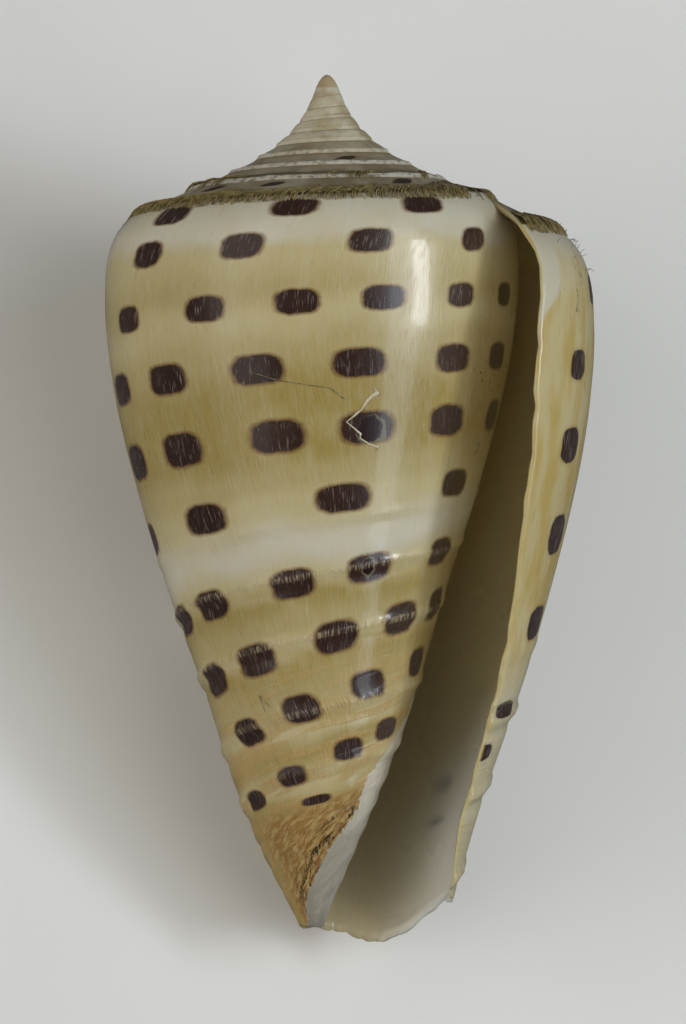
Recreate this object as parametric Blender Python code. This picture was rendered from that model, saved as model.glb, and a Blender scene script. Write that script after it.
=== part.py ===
"""Cone shell, lying on its back with its aperture up.

A spiral shell with a low stepped spire, a round shoulder, a long tapering body with spiral ridges near
its base, and one narrow aperture behind a thin lip. It grew as one piece, so it is one closed solid.
Its surface is worked out along two directions: turns, counted back from the lip along the spiral, and
depth, measured down the body from the shoulder at the lip's scale. Lengths are in millimetres until the
mesh is placed.
"""
import math

import bmesh
import bpy
import numpy as np
from mathutils import Matrix

MM = 0.001

# Growth of the spiral
WIDENING = 1.40               # each turn is this many times as wide as the turn before it
SHOULDER_RADIUS = 8.18        # from the shell's axis to the shoulder's edge at the lip
EARLY_EXTRA = 0.08            # how much wider than that rule the first turns of the spire are
EARLY_TURNS = 5.0             # turns back from the lip over which that extra width comes in
SPIRE_DEPTH = 4.415           # from the apex down to the shoulder, before the last turn's drop
SPIRE_STEP = 0.414            # how far each turn's shoulder stands below the one before it
LAST_DROP = 1.148             # how much further the shoulder sinks towards the lip
LAST_DROP_TURNS = 0.95        # and over how many turns it does so
SPIRE_TURNS = 8.5             # turns from the lip to the start of the dome at the apex

# Outline of the body at the lip: depth below the shoulder, and radius
BODY_LENGTH = 30.4
BODY_OUTLINE = (
    (0.0, 8.18), (0.42, 8.64), (0.95, 9.05), (1.7, 9.35), (3.6, 9.55), (6.3, 9.38), (8.3, 9.06),
    (10.2, 8.63), (12.3, 8.06), (15.7, 7.02), (20.0, 5.46), (24.2, 3.94), (27.2, 2.52), (29.0, 1.38),
    (BODY_LENGTH, 0.32),
)

# Columella, the pillar that the turns wind round
TIP_DEPTH = 29.6              # from the apex to the columella's tip
TIP_START = 0.55              # share of the body's length where earlier turns start to reach for the tip
TIP_REACH_POWER = 1.7
COLUMELLA_NARROWING = 0.88    # how much slimmer the hidden turns are at the tip
COLUMELLA_MIN_RADIUS = 0.14
TIP_LEAN = 0.50               # how far the tip stands to the left of the shell's axis

# Lip: depth below the shoulder, and the angle of the lip's edge round the axis, in degrees
LIP_EDGE = (
    (0.0, -36.0), (3.5, -41.0), (9.2, -40.0), (16.2, -34.5), (19.3, -33.0), (21.4, -31.0), (23.3, -23.0),
    (BODY_LENGTH, -23.0),
)
SUTURE_LAG_TURNS = 0.05       # how far behind the shoulder the lip meets the turn before it
LIP_THICKNESS = 0.22
WALL_THICKNESS = 0.75
WALL_GROWS_TURNS = 0.05       # turns behind the lip over which the wall gets its full thickness
RIM_THINNING = 0.6            # share of its thickness that the wall loses towards the rim at the base

# Lower rim: turns back from the lip, and the depth below the shoulder where the body ends
RIM_EDGE = (
    (0.0, 23.1), (0.10, 24.3), (0.17, 26.1), (0.30, 27.2), (0.42, 28.3), (0.52, 29.5), (0.60, BODY_LENGTH),
    (1.60, 29.7), (2.10, 29.0),
)
RIM_ROWS_FROM = 16.0          # depth below which the rows close up to end on the rim
CANAL_CLOSES_FROM = 0.30      # turns where the slit along the base starts to narrow
CANAL_ENDS = 0.60             # and where the wall has reached the columella
CANAL_DEPTH = 24.0            # depth below which the wall closes on the columella

# Depths of the rows of the mesh and of the spiral ridges near the base
TOP_ROWS = (0.0, 0.12, 0.5, 1.2, 2.2, 3.8, 6.3, 9.0, 11.7, 14.3)
RIDGES = (17.15, 19.7, 22.5, 24.6)
VALLEYS = (15.9, 18.4, 21.1, 23.6)
BASE_ROWS = (25.7, 27.0, 28.3, 29.5, BODY_LENGTH)
RIDGE_HEIGHT = 0.11
RIDGE_WIDTH = 0.45

# The ledge on top of each turn, from its shoulder in to the suture
RAMP_ROWS = 3
RAMP_BULGE = 0.22             # how far the ledges of the first turns bulge, as a share of their width
RAMP_BULGE_TURNS = (2.0, 6.0)

COLUMNS = 40                  # columns of the mesh in one turn
CAVITY_TURNS = 1.0            # how far behind the lip the hollow is modelled
DOME_RINGS = (0.62, 0.25)     # rings of the dome at the apex, as shares of its radius

# How the shell lies: pitch lifts the apex, roll turns the shell about its own axis
REST_PITCH = 13.4
REST_ROLL = -13.5

SHELL_COLOUR = (0.78, 0.68, 0.42)
SHELL_ROUGHNESS = 0.35


def smooth_curve(x, points):
    """A smooth curve through points: cubic spans whose slopes come from each point's neighbours."""
    xs, ys = np.array(points).T
    slopes = np.gradient(ys, xs)
    i = np.clip(np.searchsorted(xs, x, side="right") - 1, 0, len(xs) - 2)
    span = xs[i + 1] - xs[i]
    t = np.clip((x - xs[i]) / span, 0.0, 1.0)
    start = ys[i] * (1 + 2 * t) * (1 - t) ** 2 + slopes[i] * span * t * (1 - t) ** 2
    end = ys[i + 1] * t ** 2 * (3 - 2 * t) - slopes[i + 1] * span * t ** 2 * (1 - t)
    return start + end


def ease(x, low, high):
    """0 below low, 1 above high, and a smooth step between them."""
    t = np.clip((x - low) / (high - low), 0.0, 1.0)
    return t * t * (3 - 2 * t)


def shoulder(turn):
    """Radius of the shoulder's edge, and its drop below the apex."""
    radius = SHOULDER_RADIUS * WIDENING ** -turn + EARLY_EXTRA * np.clip(turn / EARLY_TURNS, 0, 1)
    drop = SPIRE_DEPTH - SPIRE_STEP * turn + LAST_DROP * np.exp(-turn / LAST_DROP_TURNS)
    return radius, drop


def reach(depth):
    """How strongly a point of the body is drawn down to the columella's tip, 0 to 1."""
    return np.clip((depth / BODY_LENGTH - TIP_START) / (1 - TIP_START), 0, 1) ** TIP_REACH_POWER


def body(turn, depth):
    """Radius and drop of the outer wall, before its ridges: the outline, shrunk with each turn back."""
    edge_radius, edge_drop = shoulder(turn)
    radius = edge_radius / SHOULDER_RADIUS * smooth_curve(depth, BODY_OUTLINE)
    slimmer = COLUMELLA_NARROWING * np.clip((turn - CANAL_ENDS) / 0.5, 0, 1)
    radius = np.maximum(radius * (1 - slimmer * reach(depth) ** 1.9), COLUMELLA_MIN_RADIUS)
    scale = WIDENING ** -turn
    short_by = np.clip(TIP_DEPTH - edge_drop - BODY_LENGTH * scale, 0, None)
    return radius, edge_drop + scale * depth + short_by * reach(depth)


def depth_for_drop(turn, drop):
    """The depth at which the body of a turn has a given drop, found by halving."""
    low = np.zeros_like(drop)
    high = np.full_like(drop, BODY_LENGTH)
    for _ in range(24):
        middle = (low + high) / 2
        above = body(turn, middle)[1] < drop
        low = np.where(above, middle, low)
        high = np.where(above, high, middle)
    return (low + high) / 2


def rim_depth(turn):
    """Depth where the body of a turn ends."""
    return np.minimum(smooth_curve(turn, RIM_EDGE), BODY_LENGTH)


def row_depth(turn, depth):
    """Depth of a row at a turn: the lower rows close up so that the last one lies on the rim."""
    rim = rim_depth(turn)
    below = np.clip(depth - RIM_ROWS_FROM, 0, None)
    return depth - below + below * (rim - RIM_ROWS_FROM) / (BODY_LENGTH - RIM_ROWS_FROM)


def ridge(depth):
    """Height of the spiral ridges: one rounded bump at each ridge's depth."""
    bumps = [np.exp(-((depth - centre) / RIDGE_WIDTH) ** 2) for centre in RIDGES]
    return RIDGE_HEIGHT * sum(bumps)


def to_points(turn, radius, drop, lip_angle, lean_depth):
    """Points from cylinder coordinates: the shell's axis is Z, the apex is at the origin."""
    angle = np.radians(lip_angle) + 2 * np.pi * turn
    lean = TIP_LEAN * reach(lean_depth) ** 5 * ease(turn, 0.2, CANAL_ENDS)
    return np.stack([radius * np.cos(angle) - lean, radius * np.sin(angle), -drop], axis=-1)


def outer_wall(turn, depth):
    """Points of the outer wall: the body with its spiral ridges, on columns that follow the lip."""
    at = row_depth(turn, depth)
    radius, drop = body(turn, at)
    lip_angle = smooth_curve(at, LIP_EDGE)
    height = ridge(depth) * WIDENING ** -turn * (1 - ease(turn, 1.0, 1.3))
    return to_points(turn, radius + height, drop, lip_angle, at)


def wall_thickness(turn, depth):
    """Thin at the lip's edge and the rim, full a little behind them, and thinner on smaller turns."""
    full = LIP_THICKNESS + (WALL_THICKNESS - LIP_THICKNESS) * (1 - np.exp(-turn / WALL_GROWS_TURNS))
    return full * WIDENING ** -turn * (1 - RIM_THINNING * ease(depth, CANAL_DEPTH, BODY_LENGTH))


def inner_wall(turn, depth):
    """Points of the hollow's outer side: the outer wall, moved in by its thickness.

    Towards the base it closes on the turn before it, past the end of the slit along the base.
    """
    at = row_depth(turn, depth)
    radius, drop = body(turn, at)
    edge_drop = shoulder(turn)[1]
    rim_drop = body(turn, rim_depth(turn))[1]
    crease_drop = body(turn + 1, rim_depth(turn + 1))[1]
    closed = ease(turn, CANAL_CLOSES_FROM, CANAL_ENDS)
    shorter = (crease_drop - edge_drop) / (rim_drop - edge_drop)
    drop = edge_drop + (drop - edge_drop) * (1 - closed * (1 - shorter))
    inside = body(turn + 1, depth_for_drop(turn + 1, drop))[0]
    room = np.maximum(radius - inside, 0.02)
    gap = room - np.minimum(wall_thickness(turn, depth), 0.5 * room)
    gap = gap * (1 - closed * ease(depth, CANAL_DEPTH, BODY_LENGTH))
    return to_points(turn, inside + gap, drop, smooth_curve(at, LIP_EDGE), at)


def ramp(turn, share):
    """Points of the ledge from the shoulder, share 0, in to the suture on the turn before it, share 1."""
    radius, drop = shoulder(turn)
    before = turn + 1 + SUTURE_LAG_TURNS
    suture_radius, suture_drop = body(before, np.full_like(turn, TOP_ROWS[1]))
    width = radius - suture_radius
    bulge = RAMP_BULGE * ease(turn, *RAMP_BULGE_TURNS) * 4 * share * (1 - share) * width
    return (
        radius - share * width,
        drop + share * (suture_drop - drop) - bulge,
        LIP_EDGE[0][1] + share * 360 * SUTURE_LAG_TURNS,
    )


def ramp_top(turn, share):
    """Points on top of the ledge."""
    radius, drop, lip_angle = ramp(turn, share)
    return to_points(turn, radius, drop, lip_angle, np.zeros_like(turn))


def ramp_underside(turn, share):
    """Points under the ledge: its top, moved down and in by the wall's thickness."""
    radius, drop, lip_angle = ramp(turn, share)
    thickness = wall_thickness(turn, 0.0)
    at_suture = (TOP_ROWS[2] - TOP_ROWS[1]) * WIDENING ** -(turn + 1)
    down = thickness + share * (at_suture - thickness)
    return to_points(
        turn, radius - 0.6 * thickness * (1 - share), drop + down, lip_angle, np.zeros_like(turn)
    )


def quads(grid):
    """Two triangles for each cell of a grid of point numbers."""
    a, b, c, d = grid[:-1, :-1], grid[1:, :-1], grid[1:, 1:], grid[:-1, 1:]
    return np.concatenate([np.stack([a, b, c], -1).reshape(-1, 3), np.stack([a, c, d], -1).reshape(-1, 3)])


def zip_lines(points, first, second):
    """A strip of triangles between two lines of point numbers, paired by their share of each length."""
    middles = []
    for line in (first, second):
        steps = np.linalg.norm(np.diff(points[line], axis=0), axis=1)
        ends = np.cumsum(steps) / steps.sum()
        middles.append(ends - 0.5 * steps / steps.sum())
    across = np.searchsorted(middles[1], middles[0], side="left")
    back = np.searchsorted(middles[0], middles[1], side="right")
    return np.concatenate([
        np.stack([first[:-1], first[1:], second[across]], -1),
        np.stack([second[1:], second[:-1], first[back]], -1),
    ])


def shell_surface():
    """Points and triangles of the whole shell, joined up from its wall, ledge, hollow and ends."""
    depths = np.array(sorted(TOP_ROWS + RIDGES + VALLEYS + BASE_ROWS))
    lag = round(SUTURE_LAG_TURNS * COLUMNS)
    turn_before = COLUMNS
    cavity = round(CAVITY_TURNS * COLUMNS)
    canal = round(CANAL_ENDS * COLUMNS)
    spire = round(SPIRE_TURNS * COLUMNS)
    groups = []

    def add(new):
        start = sum(len(group) for group in groups)
        groups.append(new.reshape(-1, 3))
        return start + np.arange(len(groups[-1])).reshape(new.shape[:-1])

    def grid(surface, columns, along):
        turn, other = np.meshgrid(np.asarray(columns) / COLUMNS, along, indexing="ij")
        return add(surface(turn, other))

    # The outer wall: its top two rows, the shoulder's edge and the suture, run on up to the apex
    edges = grid(outer_wall, range(spire + turn_before + lag + 1), depths[:2])
    under = grid(outer_wall, range(turn_before + cavity + lag + 1), depths[2:3])
    lower = grid(outer_wall, range(turn_before + cavity + 1), depths[3:])
    wall = np.hstack([edges[:len(lower)], under[:len(lower)], lower])

    # The ledge starts on the shoulder's edge and ends on the suture of the turn before it
    shares = np.arange(1, RAMP_ROWS) / RAMP_ROWS
    ledge = np.hstack([
        edges[:spire + 1, :1],
        grid(ramp_top, range(spire + 1), shares),
        edges[turn_before + lag:, 1:],
    ])

    # The hollow's outer side, from the suture over the shoulder and down to the base
    inner = np.hstack([
        under[turn_before + lag:],
        grid(ramp_underside, range(cavity + 1), np.append(shares[::-1], 0.0)),
        grid(inner_wall, range(cavity + 1), depths[3:]),
    ])
    inner[canal:, -1] = wall[turn_before + canal:, -1]

    tip = add(np.array([[-TIP_LEAN, 0.0, -TIP_DEPTH - 0.05]]))[0]
    first_turn = edges[spire + lag:, 0]
    rings = [add(ring) for ring in dome_rings(groups[0][first_turn])]
    apex = add(np.zeros((1, 3)))[0]
    points = np.concatenate(groups)

    outer_lip = np.concatenate([ledge[0, ::-1], wall[0, 1:]])
    tip_loop = wall[canal:canal + turn_before + 1, -1]
    hollow_end = np.concatenate([under[:turn_before + cavity:-1, 0], wall[-1, 2:]])
    faces = np.concatenate([
        quads(edges),
        quads(wall[:turn_before + lag + 1, 1:3]),
        quads(wall[:, 2:]),
        quads(ledge),
        quads(inner),
        quads(np.stack([inner[:canal + 1, -1], wall[:canal + 1, -1]])),
        zip_lines(points, outer_lip, inner[0]),
        zip_lines(points, inner[-1], hollow_end),
        fan(np.append(tip_loop, tip_loop[0]), tip),
        zip_lines(points, edges[spire:spire + lag + 1, 0], ledge[-1]),
        dome_faces(first_turn, edges[-1, 1], rings, apex),
    ])
    same = (faces[:, 0] == faces[:, 1]) | (faces[:, 1] == faces[:, 2]) | (faces[:, 2] == faces[:, 0])
    faces = faces[~same]
    used = np.unique(faces)
    return points[used], np.searchsorted(used, faces)


def fan(line, centre):
    """Triangles from each span of a line to one point."""
    return np.stack([line[:-1], line[1:], np.full(len(line) - 1, centre)], -1)


def dome_rings(edge):
    """Round rings over the first turn: drop falls with the square of the distance from the axis."""
    radius = np.linalg.norm(edge[:, :2], axis=1).mean()
    angle = np.arctan2(edge[:-1, 1], edge[:-1, 0])
    circle = np.stack([radius * np.cos(angle), radius * np.sin(angle), 0 * angle], -1)
    height = np.array([0.0, 0.0, edge[:, 2].mean()])
    return [share * circle + share ** 2 * height for share in DOME_RINGS]


def dome_faces(edge, step, rings, apex):
    """The dome over the first turn: bands from its edge to the apex, and the small step where it starts."""
    closed = [np.append(ring, ring[0]) for ring in rings]
    bands = [quads(np.stack([outer, inner])) for outer, inner in zip([edge] + closed[:-1], closed)]
    start = np.array([[rings[0][0], edge[-1], step], [rings[0][0], step, edge[0]]])
    return np.concatenate(bands + [start, fan(closed[-1], apex)])


def shell_material():
    material = bpy.data.materials.new("shell")
    material.use_nodes = True
    shader = material.node_tree.nodes["Principled BSDF"]
    shader.inputs["Base Color"].default_value = (*SHELL_COLOUR, 1.0)
    shader.inputs["Roughness"].default_value = SHELL_ROUGHNESS
    shader.inputs["Metallic"].default_value = 0.0
    return material


def lying_down():
    """Turns the standing shell on its back: the aperture faces up and the apex points to +Y."""
    lay = Matrix.Rotation(math.radians(-90), 4, "X")
    pitch = Matrix.Rotation(math.radians(REST_PITCH), 4, "X")
    roll = Matrix.Rotation(math.radians(REST_ROLL), 4, "Z")
    return pitch @ lay @ roll


def make_shell():
    """The shell, resting on z = 0 with its box centred on the origin."""
    points, faces = shell_surface()
    mesh = bpy.data.meshes.new("cone_shell")
    mesh.from_pydata((points * MM).tolist(), [], faces.tolist())
    bm = bmesh.new()
    bm.from_mesh(mesh)
    bmesh.ops.recalc_face_normals(bm, faces=bm.faces)
    bm.to_mesh(mesh)
    bm.free()
    mesh.shade_smooth()
    mesh.materials.append(shell_material())
    shell = bpy.data.objects.new("cone_shell", mesh)
    bpy.context.scene.collection.objects.link(shell)
    turned = np.array(lying_down())[:3, :3]
    placed = points * MM @ turned.T
    low, high = placed.min(axis=0), placed.max(axis=0)
    rest = Matrix.Translation((-(low[0] + high[0]) / 2, -(low[1] + high[1]) / 2, -low[2]))
    shell.matrix_world = rest @ lying_down()
    return shell


for old in list(bpy.data.objects):
    bpy.data.objects.remove(old)
make_shell()
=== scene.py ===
"""Cone shell with a chequered coat: its fine surface, the fringe on its spire and the lint on it.

The shell's surface is worked out along two directions: turns, counted back from the lip along the
spiral, and depth, measured down the body from the shoulder at the lip's scale. Lengths are in
millimetres until a mesh is placed.
"""
import math

import bmesh
import bpy
import numpy as np
from bpy.props import FloatProperty, FloatVectorProperty, IntProperty, PointerProperty
from mathutils import Matrix, Vector


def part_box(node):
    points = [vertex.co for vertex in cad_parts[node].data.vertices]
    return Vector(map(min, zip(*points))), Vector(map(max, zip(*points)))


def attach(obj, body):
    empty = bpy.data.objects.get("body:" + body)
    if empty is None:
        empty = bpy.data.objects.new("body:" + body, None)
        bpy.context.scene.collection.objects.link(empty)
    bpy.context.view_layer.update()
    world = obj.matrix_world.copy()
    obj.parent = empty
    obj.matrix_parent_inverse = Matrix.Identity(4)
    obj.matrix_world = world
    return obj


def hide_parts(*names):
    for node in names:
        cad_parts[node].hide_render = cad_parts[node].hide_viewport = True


bl_info = {
    "name": "Chequered cone shell",
    "version": (1, 0, 0),
    "blender": (4, 5, 0),
    "location": "3D View > Sidebar > Shell",
    "description": "Builds a cone shell with its coat, spire fringe and lint, and a stage to show it on",
    "category": "Add Mesh",
}

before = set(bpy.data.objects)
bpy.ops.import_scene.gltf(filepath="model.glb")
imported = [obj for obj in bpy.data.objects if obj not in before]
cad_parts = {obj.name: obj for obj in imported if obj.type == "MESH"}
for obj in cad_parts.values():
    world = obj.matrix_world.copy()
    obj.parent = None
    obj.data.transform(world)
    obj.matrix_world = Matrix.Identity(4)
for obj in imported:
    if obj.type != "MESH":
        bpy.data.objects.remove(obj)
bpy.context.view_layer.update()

MM = 0.001

# Growth of the spiral
WIDENING = 1.40
SHOULDER_RADIUS = 8.18
EARLY_EXTRA = 0.08
EARLY_TURNS = 5.0
SPIRE_DEPTH = 4.415
SPIRE_STEP = 0.414
LAST_DROP = 1.148
LAST_DROP_TURNS = 0.95
SPIRE_TURNS = 8.5

# Outline of the body at the lip: depth below the shoulder, and radius
BODY_LENGTH = 30.4
BODY_OUTLINE = (
    (0.0, 8.18), (0.42, 8.64), (0.95, 9.05), (1.7, 9.35), (3.6, 9.55), (6.3, 9.38), (8.3, 9.06),
    (10.2, 8.63), (12.3, 8.06), (15.7, 7.02), (20.0, 5.46), (24.2, 3.94), (27.2, 2.52), (29.0, 1.38),
    (BODY_LENGTH, 0.32),
)

# Columella, the pillar that the turns wind round
TIP_DEPTH = 29.6
TIP_START = 0.55
TIP_REACH_POWER = 1.7
COLUMELLA_NARROWING = 0.88
COLUMELLA_MIN_RADIUS = 0.14
TIP_LEAN = 0.50

# Lip: depth below the shoulder, and the angle of the lip's edge round the axis, in degrees
LIP_EDGE = (
    (0.0, -36.0), (3.5, -41.0), (9.2, -40.0), (16.2, -34.5), (19.3, -33.0), (21.4, -31.0), (23.3, -23.0),
    (BODY_LENGTH, -23.0),
)
SUTURE_LAG_TURNS = 0.05
LIP_THICKNESS = 0.22
WALL_THICKNESS = 0.75
WALL_GROWS_TURNS = 0.05
RIM_THINNING = 0.6

# Lower rim: turns back from the lip, and the depth below the shoulder where the body ends
RIM_EDGE = (
    (0.0, 23.1), (0.10, 24.3), (0.17, 26.1), (0.30, 27.2), (0.42, 28.3), (0.52, 29.5), (0.60, BODY_LENGTH),
    (1.60, 29.7), (2.10, 29.0),
)
RIM_ROWS_FROM = 16.0
CANAL_CLOSES_FROM = 0.30
CANAL_ENDS = 0.60
CANAL_DEPTH = 24.0
CAVITY_TURNS = 1.0

# Spiral ridges near the base: depth and how high each stands, as a share of the ridge height
RIDGES = ((14.85, 0.35), (17.15, 1.0), (19.7, 1.0), (22.5, 1.0), (24.6, 0.9), (25.7, 0.45), (26.5, 0.4),
          (27.3, 0.4), (28.1, 0.35), (28.9, 0.3))
RIDGE_WIDTH = 0.22
UNDERCUT = 0.5
UNDERCUT_BELOW = 0.42

# Rows of the fine mesh
EDGE_ROWS = (0.0, 0.12, 0.5)
TOP_ROWS_TO = 2.1
TOP_ROW_STEP = 0.2
BODY_ROWS_TO = 14.3
BODY_ROW_STEP = 0.46
BASE_ROW_STEP = 0.155
INNER_ROWS = 56
LEDGE_SHARES = (0.05, 0.11, 0.18, 0.27, 0.40, 0.55, 0.72, 0.86, 0.95)
DOME_RINGS = (0.8, 0.6, 0.4, 0.2)

# Relief of the ledges on the spire, in mm: a worn cord beside each shoulder, a hollow behind it
LEDGE_BULGE = 0.22
LEDGE_BULGE_TURNS = (2.0, 6.0)
CORD_HEIGHT = 0.055
CORD_SHARE = 0.09
CORD_WIDTH = 0.08
LEDGE_HOLLOW = 0.07

# How the shell lies
REST_PITCH = 13.4
REST_ROLL = -13.5

# Rows of dark spots: depth at 0.75 turns, rise of the row in mm per turn, width, height, and each spot's
# place in turns as seen from the front
SPOT_ROWS = (
    (2.28, 0.0, 1.50, 1.08, (0.088, 0.703, 0.793, 0.893, 0.991)),
    (4.96, 0.0, 1.50, 1.10, (0.051, 0.681, 0.767, 0.841, 0.909, 0.981, 1.045)),
    (7.83, -0.5, 1.80, 1.28, (0.049, 0.646, 0.721, 0.805, 0.887, 0.975, 1.041)),
    (10.88, 0.0, 1.85, 1.42, (0.053, 0.638, 0.719, 0.813, 0.891, 0.973, 1.056)),
    (13.93, 0.0, 1.78, 1.22, (0.048, 0.602, 0.721, 0.863, 0.995)),
    (17.40, 1.0, 1.48, 1.18, (0.024, 0.620, 0.693, 0.801, 0.889, 0.993)),
    (20.05, 2.0, 1.42, 1.22, (0.000, 0.646, 0.735, 0.847, 0.941, 1.017)),
    (22.38, 3.0, 1.22, 1.00, (0.673, 0.777, 0.889, 0.997)),
    (24.53, 4.4, 1.00, 0.74, (0.614, 0.723, 0.839, 0.925)),
    (25.74, 0.0, 0.95, 0.32, (0.765,)),
)
SPOT_SPACING = 0.088
SPOT_HIDDEN_TURNS = (0.14, 0.57)
SHOULDER_SPOTS = (0.60, 0.0, 1.55, 0.78, (0.601, 0.711, 0.825, 0.937))
SHOULDER_SPACING = 0.113
SPOT_CORNER_POWER = 3.0
SPOT_NARROWING = 0.30
SPOT_NARROW_TURNS = (0.90, 1.03)
SPOT_MIDDLE_TURNS = 0.75
SPOT_LEVEL_TURNS = 0.6
LEDGE_SPOT_TURNS = (0.05, 3.6)
LEDGE_SPOT_SPACING = 0.19

# Dark blotches on the spire's ledges: turn, share of the ledge, half width in mm, half height as a share
BLOTCHES = ((0.668, 0.80, 0.45, 0.12), (0.747, 0.80, 0.45, 0.10), (0.903, 0.80, 0.50, 0.14),
            (2.863, 0.45, 0.36, 0.26))

# Two spots whose coat has flaked off: turn and depth of the flaked part, and its size in mm
FLAKES = ((0.893, 10.97, 0.62), (0.886, 17.15, 0.40))

# Where the polished glaze beside the aperture starts: depth and turn
GLAZE_EDGE = ((20.0, 1.06), (22.0, 1.04), (23.5, 1.00), (24.7, 0.935), (25.7, 0.885), (26.3, 0.885),
              (27.2, 0.835), (27.6, 0.805), (28.8, 0.715), (29.6, 0.62), (30.4, 0.56))

# Raised edge of the larger flake, as turn and depth along it
FLAKE_EDGE = ((0.897, 9.05), (0.901, 9.32), (0.893, 9.60), (0.887, 10.02), (0.880, 10.30), (0.873, 10.54),
              (0.880, 10.91), (0.8845, 11.15), (0.8835, 11.33), (0.891, 11.64), (0.900, 11.82),
              (0.897, 11.98))
FLAKE_EDGE_WIDTHS = (0.03, 0.17, 0.12, 0.08, 0.07, 0.06, 0.05, 0.09, 0.05, 0.06, 0.10, 0.03)

# Hairs of lint: turns and depths of a bent line each, in order along it
LINT = (
    ((0.722, 22.05), (0.7225, 21.75), (0.724, 21.45), (0.728, 21.70), (0.733, 21.95)),
    ((1.020, 12.15), (1.033, 12.15), (1.029, 12.45), (1.024, 12.75)),
    ((0.800, 7.92), (0.820, 8.40), (0.845, 8.75), (0.862, 8.95), (0.873, 9.50)),
    ((0.640, 0.30), (0.632, 0.10), (0.626, 0.30), (0.622, 0.62)),
    ((0.043, 2.3), (0.045, 2.7), (0.042, 3.1)),
)
LINT_THICKNESS = 0.022
HAIR_POINTS = 13

# Short hairs on the shoulder beside the lip: how many, their turns, depth and length in mm
SHORT_HAIRS = 34
SHORT_HAIR_TURNS = (0.03, 0.15)
SHORT_HAIR_DEPTH = 3.0
SHORT_HAIR_LENGTH = (0.10, 0.28)

# Fringe: the turns that it covers, those where it is rubbed off the ledge, and its fibres' length and
# tip as shares of the ledge, the lift of their middles in mm, and the number of points along each
FRINGE_TURNS = (0.004, 2.25)
FRINGE_BARE = (1.73, 1.84)
FIBRE_LENGTH = 0.46
FIBRE_TIP = (-0.17, -0.09)
FIBRE_LIFT = (0.10, 0.16)
FIBRE_POINTS = 6

# Stage: the photograph's size in pixels, where the apex stands in it, its scale, the camera's tilt and
# roll in degrees, its sensor's width in mm, the floor's width in metres, and half the shell's length in mm
PHOTO_WIDTH = 686
PHOTO_HEIGHT = 1024
APEX_PIXEL = (327.0, 74.6)
MM_PER_PIXEL = 0.034787
CAMERA_TILT = 2.0
CAMERA_ROLL = 0.5
SENSOR = 36.0
FLOOR_WIDTH = 4.0
HALF_LENGTH = 15

# Lamps: name, direction from the shell (across, up, towards the camera), distance and size in metres,
# power in watts, colour, and whether the shell's gloss shows them
LAMPS = (
    ("front", (-0.25, 0.10, 1.0), 0.60, (0.30, 0.30), 0.34, (1.0, 0.98, 0.92), False),
    ("side", (-0.69, 0.12, 0.72), 0.50, (0.30, 0.70), 0.34, (1.0, 0.98, 0.93), True),
    ("bounce", (-0.80, 0.05, 0.62), 0.50, (0.30, 0.50), 0.74, (1.0, 0.98, 0.92), False),
    ("fill", (0.50, 0.05, 0.85), 0.50, (0.30, 0.30), 0.38, (1.0, 0.97, 0.90), False),
    ("window", (0.790, 0.02, 0.613), 0.45, (0.15, 0.55), 0.64, (0.80, 0.90, 1.0), True),
    ("pane", (0.866, 0.10, 0.50), 0.42, (0.06, 0.18), 0.46, (0.95, 0.98, 1.0), True),
)
AMBIENT_COLOUR = (0.95, 0.97, 1.0, 1.0)
FLOOR_GRAIN_SHADE = 0.97

# Colours of the coat's smaller marks
HAIRLINE = (0.72, 0.68, 0.55)
FUZZ = (0.52, 0.34, 0.12)
BASE_TAN = (0.55, 0.38, 0.14)
DEEP_RUST = (0.20, 0.09, 0.015)
SPOT_SCRATCH = (0.24, 0.19, 0.17)
SPOT_CLOUD = (0.09, 0.05, 0.035)
FLAKE_RIM = (0.15, 0.125, 0.085)
FLAKE_BARE = (0.016, 0.0012, 0.0008)
RIDGE_CREST = (0.62, 0.50, 0.30)
GRIME = (0.022, 0.017, 0.004)
# Grey glaze at the base: its own grey, darkened as painted shade
GLAZE_SHADED = (0.42, 0.385, 0.31)
GLAZE_MILKY = (0.62, 0.57, 0.46)
PINHOLE = (0.05, 0.035, 0.015)
LIP_CREAM = (0.60, 0.50, 0.25)
LIP_STREAK = (0.53, 0.38, 0.10)
LIP_LOWER = (0.60, 0.54, 0.36)
LIP_EDGE_WHITE = (0.62, 0.57, 0.43)
LIP_EDGE_YELLOW = (0.56, 0.44, 0.17)

# Colours of the spire
LEDGE_DARK = (0.22, 0.175, 0.10)
LEDGE_PALE = (0.34, 0.295, 0.20)
BLOTCH_HALO = (0.10, 0.055, 0.02)
BLOTCH = (0.03, 0.015, 0.01)
SEAM = (0.24, 0.155, 0.06)
WORN_CORD = (0.60, 0.565, 0.47)
BONE_TAN = (0.40, 0.33, 0.19)
BONE_PALE = (0.58, 0.53, 0.39)
BONE_SEAM = (0.33, 0.21, 0.07)

# Colours of the aperture's lining, with painted shade deep inside: olive, made lighter in the upper part as
# painted light that comes through the thin wall
OLIVE_SHADE_LIT_UPPER = (0.90, 0.78, 0.42)
OLIVE_SHADE_LOWER = (0.48, 0.41, 0.24)
SPOT_BEHIND = (0.15, 0.165, 0.20)
BRIM = (0.56, 0.45, 0.20)
LINING_LINES = (0.65, 0.62, 0.55)

# Two colours each of the fibres
FRINGE_COLOURS = ((0.13, 0.098, 0.028), (0.31, 0.24, 0.095))
FLAKE_EDGE_COLOURS = ((0.50, 0.43, 0.27), (0.66, 0.60, 0.44))
LINT_COLOURS = ((0.10, 0.085, 0.05), (0.42, 0.38, 0.27))

# How far light goes under the surface in red, green and blue, before its scale
WARM_BLEED = (1.0, 0.7, 0.4)
PALE_BLEED = (1.0, 0.8, 0.5)

# A direction in the standing shell that no hair runs along: each hair's rings are turned from it
ACROSS_HAIRS = (0.12, 0.31, 0.94)

RANDOM_SEED = 7


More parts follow.
